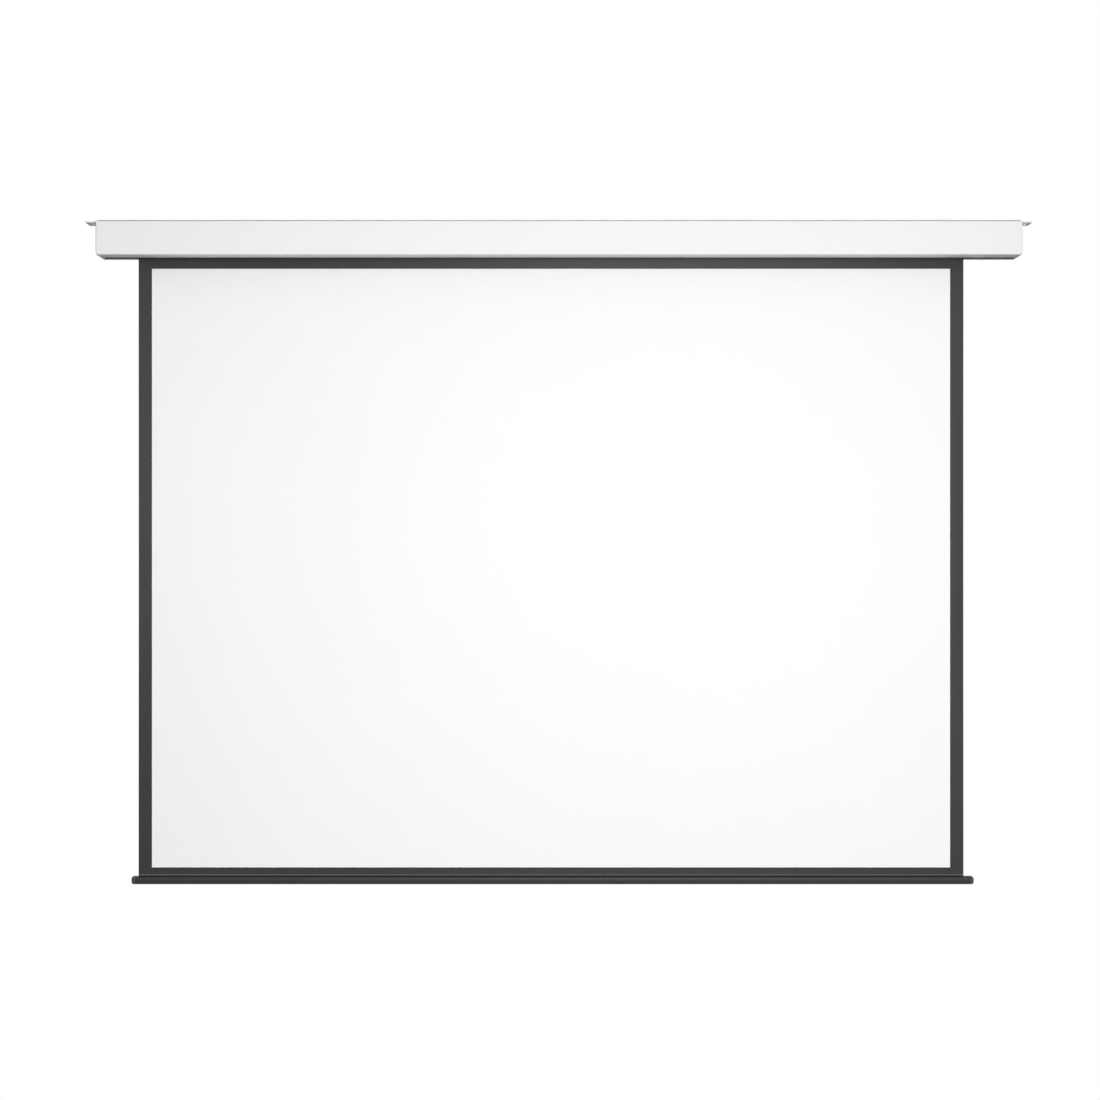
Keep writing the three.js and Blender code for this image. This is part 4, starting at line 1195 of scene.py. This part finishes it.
def make_fabric(black):
    """The hanging sheet, its hem, and the turns on the roller."""
    low = face_low - back_low
    high = face_high - back_low
    sheet = hanging_sheet(viewing_cloth("viewing_cloth", (low.x, low.z, high.x, high.z)), black)
    hand_over(sheet, "root", "white_screen", "black_backing", "viewing_face")
    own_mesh(sheet)
    hem = folded_hem()
    hand_over(hem, "bar", "black_screen", "bottom_hem", finish=black)
    flat = (SHEET_WIDTH, SHEET_HEIGHT)
    roll, flat = wound_turns()
    hand_over(roll, "roller", "black_screen", "fabric_roll", finish=black)


# Bottom bar

bar_low, bar_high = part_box("bottom_bar")
BAR_MIDDLE = (bar_low + bar_high) / 2
BAR_ROUNDING = 6.6 * MM
BAR_LINES = [bar_low.z + 7.4 * MM, bar_low.z + 9.6 * MM]
CHAMBER_HALF = 6.5 * MM
CHAMBER_LOW = bar_low.z + 1.9 * MM
CHAMBER_HIGH = bar_low.z + 6.5 * MM


def bottom_bar():
    """An extruded bar with rounded sides, two shallow lines along each face, and the channel for the hem."""
    half_mouth = 0.9 * MM
    line = 0.5 * MM
    left = bar_low.x - OVERRUN
    right = bar_high.x + OVERRUN
    rod = middle_of("hem_rod")
    piece = cube("bar_profile", bar_low, bar_high)
    round_edges(piece, along_axis(0), BAR_ROUNDING, 8)
    break_edges(piece)
    tools = rods("channel", "X", [rod.yz], left, right, 3.6 * MM)
    tools.append(cube("mouth", (left, rod.y - half_mouth, rod.z),
        (right, rod.y + half_mouth, bar_high.z + OVERRUN)))
    chamber = cube("chamber", (left, BAR_MIDDLE.y - CHAMBER_HALF, CHAMBER_LOW),
        (right, BAR_MIDDLE.y + CHAMBER_HALF, CHAMBER_HIGH))
    tools.append(round_edges(chamber, along_axis(0), 1.5 * MM, 4))
    for y in (bar_low.y, bar_high.y):
        for z in BAR_LINES:
            tools.append(cube("line", (left, y - line, z - line), (right, y + line, z + line)))
    return smooth(carve(piece, *tools))


def bar_cap(name, side):
    """A rounded plug for the bar's end, with a seam round it and a stub that goes into the bar's chamber."""
    inner = bar_high.x
    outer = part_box("bar_end_cap_right")[1].x
    piece = cube(name, (inner, bar_low.y, bar_low.z), (outer, bar_high.y, bar_high.z))
    round_edges(piece, along_axis(0), BAR_ROUNDING, 8)
    round_edges(piece, in_plane(0, outer), 6 * MM, 8)
    weld(break_edges(piece), break_edges(stub(inner)))
    carve(piece, seam_tool(inner))
    if side < 0:
        mirror_x(piece, BAR_MIDDLE.x)
    return smooth(piece)


def stub(inner):
    """The part of the right plug that fills the bar's chamber."""
    reach = 15 * MM
    overlap = 2 * MM
    half = CHAMBER_HALF - FIT
    piece = cube("stub", (inner - reach, BAR_MIDDLE.y - half, CHAMBER_LOW + FIT),
        (inner + overlap, BAR_MIDDLE.y + half, CHAMBER_HIGH - FIT))
    return round_edges(piece, along_axis(0), 1.2 * MM, 4)


def seam_tool(inner):
    """A plate with the right plug's own section cut out of it, which leaves a shallow groove."""
    depth = 0.4 * MM
    low_x = inner + 2.4 * MM
    high_x = low_x + 0.5 * MM
    plate = cube("seam", (low_x, bar_low.y - OVERRUN, bar_low.z - OVERRUN),
        (high_x, bar_high.y + OVERRUN, bar_high.z + OVERRUN))
    core = cube("core", (low_x - OVERRUN, bar_low.y + depth, bar_low.z + depth),
        (high_x + OVERRUN, bar_high.y - depth, bar_high.z - depth))
    return carve(plate, round_edges(core, along_axis(0), BAR_ROUNDING - depth, 8))


def hem_rod():
    low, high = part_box("hem_rod")
    middle = middle_of("hem_rod")
    stations = barrel(low.x, high.x, (high.y - low.y) / 2, 0.6 * MM)
    return smooth(turned("round_hem_rod", "X", (0, middle.y, middle.z), stations, 32))


# Motor side

LEAD_HOLE = 3.3 * MM
BRACKET_BORE = 2.3 * MM
HEAD_SCREW_PLACES = (-13 * MM, 13 * MM)


def motor_sleeve():
    """The motor's casing, a thin tube."""
    low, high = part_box("motor_casing")
    outer = (high.z - low.z) / 2
    bore = outer - 1 * MM
    stations = [*barrel(low.x, high.x, outer, 0.3 * MM), (high.x, bore), (low.x, bore)]
    return smooth(turned("motor_sleeve", "X", AXIS, stations, 64, bored=True))


def motor_end():
    """The motor's head: a spigot in the casing, a ribbed body with a flat below, wells and a lead hole."""
    low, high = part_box("motor_head")
    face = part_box("motor_casing")[1].x
    spigot = 16.2 * MM
    rim = (high.y - low.y) / 2
    edge = 0.8 * MM
    cut = 20 * MM
    stations = [(low.x, spigot - edge), (low.x + edge, spigot), (face, spigot), (face, rim - edge),
                (face + edge, rim)]
    for place in (3 * MM, 6 * MM, 25 * MM, 28 * MM):
        stations += groove(face + place, 1.4 * MM, 0.4 * MM, rim, edge)
    stations += [(high.x - edge, rim), (high.x, rim - edge)]
    piece = turned("motor_end", "X", AXIS, stations, 64)
    carve(piece, cube("flat", (face - OVERRUN, low.y - OVERRUN, low.z - cut),
        (high.x + OVERRUN, high.y + OVERRUN, low.z)))
    holes = rods("way", "X", [AXIS.yz], high.x - 4 * MM, high.x + OVERRUN, LEAD_HOLE)
    for node in ("upper_limit_screw", "lower_limit_screw"):
        screw_low, screw_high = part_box(node)
        holes += rods("well", "Z", [(middle_of(node).x, AXIS.y)], screw_low.z, screw_high.z + FIT, 4.3 * MM)
    places = [(AXIS.y + y, AXIS.z) for y in HEAD_SCREW_PLACES]
    holes += rods("bore", "X", places, high.x - 6.5 * MM, high.x + OVERRUN, BRACKET_BORE, 24)
    return smooth(carve(piece, *holes))


def adjuster(name, node):
    """A limit adjusting screw: a plastic drum with a hexagon socket in its lower end and grip notches."""
    low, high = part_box(node)
    middle = middle_of(node)
    radius = (high.x - low.x) / 2
    below = low.z - OVERRUN
    piece = turned(name, "Z", (middle.x, middle.y, low.z), barrel(0, high.z - low.z, radius, 0.4 * MM), 40)
    tools = rods("key", "Z", [middle.xy], below, low.z + 6 * MM, 2.2 * MM, 6)
    places = ring_of_points(middle.xy, 8, radius + 0.3 * MM, 22.5)
    tools += rods("notch", "Z", places, below, low.z + 1.5 * MM, 0.7 * MM, 16)
    return smooth(carve(piece, *tools))


# Brackets

BRACKET_SHEET = 2 * MM


def hat_section(plate):
    """A hat of folded sheet in X and Z, from its plate to its feet on the cap, about the roller's axis."""
    inside = 2 * MM
    outside = inside + BRACKET_SHEET
    leg = 20 * MM
    toe = 31 * MM
    sole = FLANGE_INNER
    instep = sole - outside
    ankle = leg + inside
    upper = arc(plate + outside, leg - outside, outside, 180, 90, 5)
    upper += arc(instep, ankle, inside, -90, 0, 5)
    upper += [(sole - BRACKET_SHEET, toe), (sole, toe)]
    upper += arc(instep, ankle, outside, 0, -90, 5)
    upper += arc(plate + outside, leg - outside, inside, 90, 180, 5)
    return upper + [(x, -z) for x, z in reversed(upper)]


def hat_bracket(name, plate, plate_holes):
    """A folded bracket for the right end, with its holes at (y from the axis, radius) through its plate."""
    half = 22 * MM
    foot_hole = 26 * MM
    through = BRACKET_SHEET + OVERRUN
    piece = drawn(name, [(-x, z) for x, z in hat_section(plate)], -half, half)
    turn_and_shift(piece, math.radians(90), "Z", AXIS)
    round_edges(piece, along_axis(0, lambda a: abs(a.z - AXIS.z) > 30 * MM), 4 * MM, 6)
    break_edges(piece)
    places = [(AXIS.y, AXIS.z + z) for z in (-foot_hole, foot_hole)]
    holes = rods("bore", "X", places, FLANGE_INNER - through, FLANGE_INNER + OVERRUN, BRACKET_BORE, 24)
    for y, radius in plate_holes:
        holes += rods("bore", "X", [(AXIS.y + y, AXIS.z)], plate - OVERRUN, plate + through, radius)
    return carve(piece, *holes)


def motor_bracket():
    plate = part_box("motor_bracket")[0].x
    screw_holes = [(y, BRACKET_BORE) for y in HEAD_SCREW_PLACES]
    return smooth(hat_bracket("motor_hat", plate, [*screw_holes, (0, 6 * MM)]))


def idler_bracket():
    plate = -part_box("idler_bracket")[1].x
    return smooth(mirror_x(hat_bracket("idler_hat", plate, [(0, 4.3 * MM)])))


# Terminal box and motor lead

box_low, box_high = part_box("terminal_box_base")
LID_SCREWS = [(box_low.x + 5 * MM, box_low.z + 5 * MM), (box_high.x - 5 * MM, box_high.z - 5 * MM)]
LID_SCREW_BORE = 1.6 * MM
LEAD_X = box_low.x + 19 * MM


def wiring_box():
    """An open box with rounded corners, two bosses for the lid's screws, and the holes in its end wall."""
    wall = 2 * MM
    piece = cube("wiring_box", box_low, box_high)
    round_edges(piece, along_axis(1), 2 * MM, 5)
    break_edges(piece)
    inside = cube("inside", box_low + Vector((wall, -OVERRUN, wall)), box_high - Vector((wall, wall, wall)))
    carve(piece, round_edges(inside, along_axis(1), 0.8 * MM, 3))
    weld(piece, *rods("boss", "Y", LID_SCREWS, box_low.y + 0.2 * MM, box_high.y - 1 * MM, 3.4 * MM))
    holes = rods("bore", "Y", LID_SCREWS, box_low.y - OVERRUN, box_low.y + 7 * MM, LID_SCREW_BORE, 20)
    middle = middle_of("cable_grommet")
    for z, radius in ((-18 * MM, LID_SCREW_BORE), (0, CABLE_WAY), (18 * MM, LID_SCREW_BORE)):
        place = (middle.y, middle.z + z)
        holes += rods("hole", "X", [place], box_high.x - wall - OVERRUN, box_high.x + OVERRUN, radius)
    return smooth(carve(piece, *holes))


def wiring_lid():
    """The lid: a plate with rounded edges, its screw holes and the hole for the motor lead."""
    low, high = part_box("terminal_box_lid")
    piece = cube("wiring_lid", low, high)
    round_edges(piece, along_axis(1), 2 * MM, 5)
    round_edges(piece, in_plane(1, low.y), 0.8 * MM, 3)
    holes = rods("bore", "Y", LID_SCREWS, low.y - OVERRUN, high.y + OVERRUN, LID_SCREW_BORE, 20)
    holes += rods("way", "Y", [(LEAD_X, AXIS.z)], low.y - OVERRUN, high.y + OVERRUN, LEAD_HOLE)
    return smooth(carve(piece, *holes))


def terminal_strip():
    """A nylon strip with four ways: two screw wells and a wire entry in each, and notches between them."""
    low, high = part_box("terminal_block")
    ways = 4
    pitch = (high.x - low.x) / ways
    half_notch = 0.5 * MM
    notch_depth = 1.4 * MM
    well_inset = 4.5 * MM
    piece = break_edges(cube("terminal_strip", low, high), 0.5 * MM)
    tools = []
    for way in range(1, ways):
        x = low.x + way * pitch
        tools.append(cube("notch", (x - half_notch, low.y - OVERRUN, low.z - OVERRUN),
            (x + half_notch, low.y + notch_depth, high.z + OVERRUN)))
    middles = [low.x + (way + 0.5) * pitch for way in range(ways)]
    wells = [(x, z) for x in middles for z in (low.z + well_inset, high.z - well_inset)]
    entries = [(x, low.y + 5.1 * MM) for x in middles]
    tools += rods("well", "Y", wells, low.y - OVERRUN, low.y + 3 * MM, 1.9 * MM, 22)
    tools += rods("entry", "Z", entries, low.z - OVERRUN, low.z + 1.2 * MM, 1.5 * MM, 18)
    return smooth(carve(piece, *tools))


def lead_route():
    """The middle line of the motor lead: out of the head, round a bend, and back to the terminal strip."""
    low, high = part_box("motor_lead")
    bend = 18 * MM
    corner = Vector((LEAD_X, AXIS.y, AXIS.z))
    bend_start = corner - Vector((bend, 0, 0))
    bend_end = corner + Vector((0, bend, 0))
    steps = 12
    route = [Vector((low.x, AXIS.y, AXIS.z))]
    for i in range(steps + 1):
        share = i / steps
        route.append(bend_start * (1 - share) ** 2 + corner * 2 * share * (1 - share) + bend_end * share ** 2)
    route.append(Vector((LEAD_X, high.y, AXIS.z)))
    return route


def motor_lead():
    """A round sheathed lead, with the ribbed sleeve that keeps it from kinking where it leaves the head."""
    radius = 3 * MM
    route = lead_route()
    piece = primitive("sheathed_lead", "circle", vertices=24, radius=radius, fill_type="NGON",
        location=route[0], rotation=AXIS_TURNS["X"])
    heading = Vector((1, 0, 0))
    with Edit(piece) as edit:
        edit.everything()
        for i, (here, there) in enumerate(zip(route, route[1:])):
            edit.extrude(*(there - here))
            after = route[min(i + 2, len(route) - 1)] - there
            next_heading = ((there - here).normalized() + after.normalized()).normalized()
            turn = math.atan2(next_heading.y, next_heading.x) - math.atan2(heading.y, heading.x)
            if abs(turn) > 0.001:
                edit.turn(turn, "Z", there)
            heading = next_heading
        edit.face_out()
    return smooth(weld(piece, turned("sleeve", "X", AXIS, sleeve_stations(route[0].x, radius), 32)))


def sleeve_stations(start_x, radius):
    """Four rings of falling size, with narrow waists between them, and an end that sinks into the lead."""
    waist = radius + 0.5 * MM
    first_ring = 5 * MM
    fall = 0.4 * MM
    pitch = 2.4 * MM
    stations = [(start_x + 0.2 * MM, waist)]
    for i in range(4):
        foot = start_x + 0.6 * MM + i * pitch
        ring = first_ring - i * fall
        stations += [(foot, ring), (foot + 1.4 * MM, ring)]
        stations += [(foot + 1.6 * MM, waist), (foot + 2.2 * MM, waist)]
    stations.append((stations[-1][0] + 0.4 * MM, radius - 0.4 * MM))
    return stations


# The whole

SLOTS = {part["node"]: part["material_slot"] for part in frame["record"]["subparts"]}
# Each piece's function and its settings, the piece's body, and the node that it stands for
PIECES = [
    (end_cap, ["cap_left", -1], "root", "left_end_cap"),
    (end_cap, ["cap_right", 1], "root", "right_end_cap"),
    (grommet, [], "root", "cable_grommet"),
    (bottom_bar, [], "bar", "bottom_bar"),
    (bar_cap, ["bar_plug_right", 1], "bar", "bar_end_cap_right"),
    (bar_cap, ["bar_plug_left", -1], "bar", "bar_end_cap_left"),
    (hem_rod, [], "bar", "hem_rod"),
    (roller_tube, [], "roller", "roller_tube"),
    (tube_plug, [], "roller", "idler_plug"),
    (plug_bush, [], "roller", "idler_bush"),
    (counting_crown, [], "roller", "limit_crown"),
    (bearing_pin, [], "root", "idler_pin"),
    (pin_nut, [], "root", "idler_pin_nut"),
    (motor_sleeve, [], "root", "motor_casing"),
    (motor_end, [], "root", "motor_head"),
    (motor_bracket, [], "root", "motor_bracket"),
    (idler_bracket, [], "root", "idler_bracket"),
    (wiring_box, [], "root", "terminal_box_base"),
    (wiring_lid, [], "root", "terminal_box_lid"),
    (terminal_strip, [], "root", "terminal_block"),
    (motor_lead, [], "root", "motor_lead"),
    (adjuster, ["upper_adjuster", "upper_limit_screw"], "upper_limit", "upper_limit_screw"),
    (adjuster, ["lower_adjuster", "lower_limit_screw"], "lower_limit", "lower_limit_screw"),
]


def make_pieces(finishes):
    """All the pieces that stand for one node each and have one finish, but for the screws."""
    for make, settings, body, node in PIECES:
        slot = SLOTS[node]
        hand_over(make(*settings), body, slot, node, finish=finishes[slot])


def paint_nodes(finishes):
    """Gives every node of the model that still shows the finish of its slot."""
    for name, node in frame["nodes"].items():
        look = finishes.get(SLOTS[name])
        if look:
            node.data.materials.clear()
            node.data.materials.append(look)


def main():
    make_camera()
    make_lights()
    make_world()
    make_floor()
    finishes = make_finishes()
    paint_nodes(finishes)
    # The grey and black finishes are painted shade in the housing's top line and along its slot.
    shell = housing(finishes["white_paint"], finishes["grey_plastic"], finishes["black_bar"])
    hand_over(shell, "root", "white_paint", "housing_shell")
    make_pieces(finishes)
    make_screws(finishes["zinc_steel"])
    make_fabric(finishes["black_screen"])


main()
bpy.context.scene.view_settings.view_transform = "Standard"
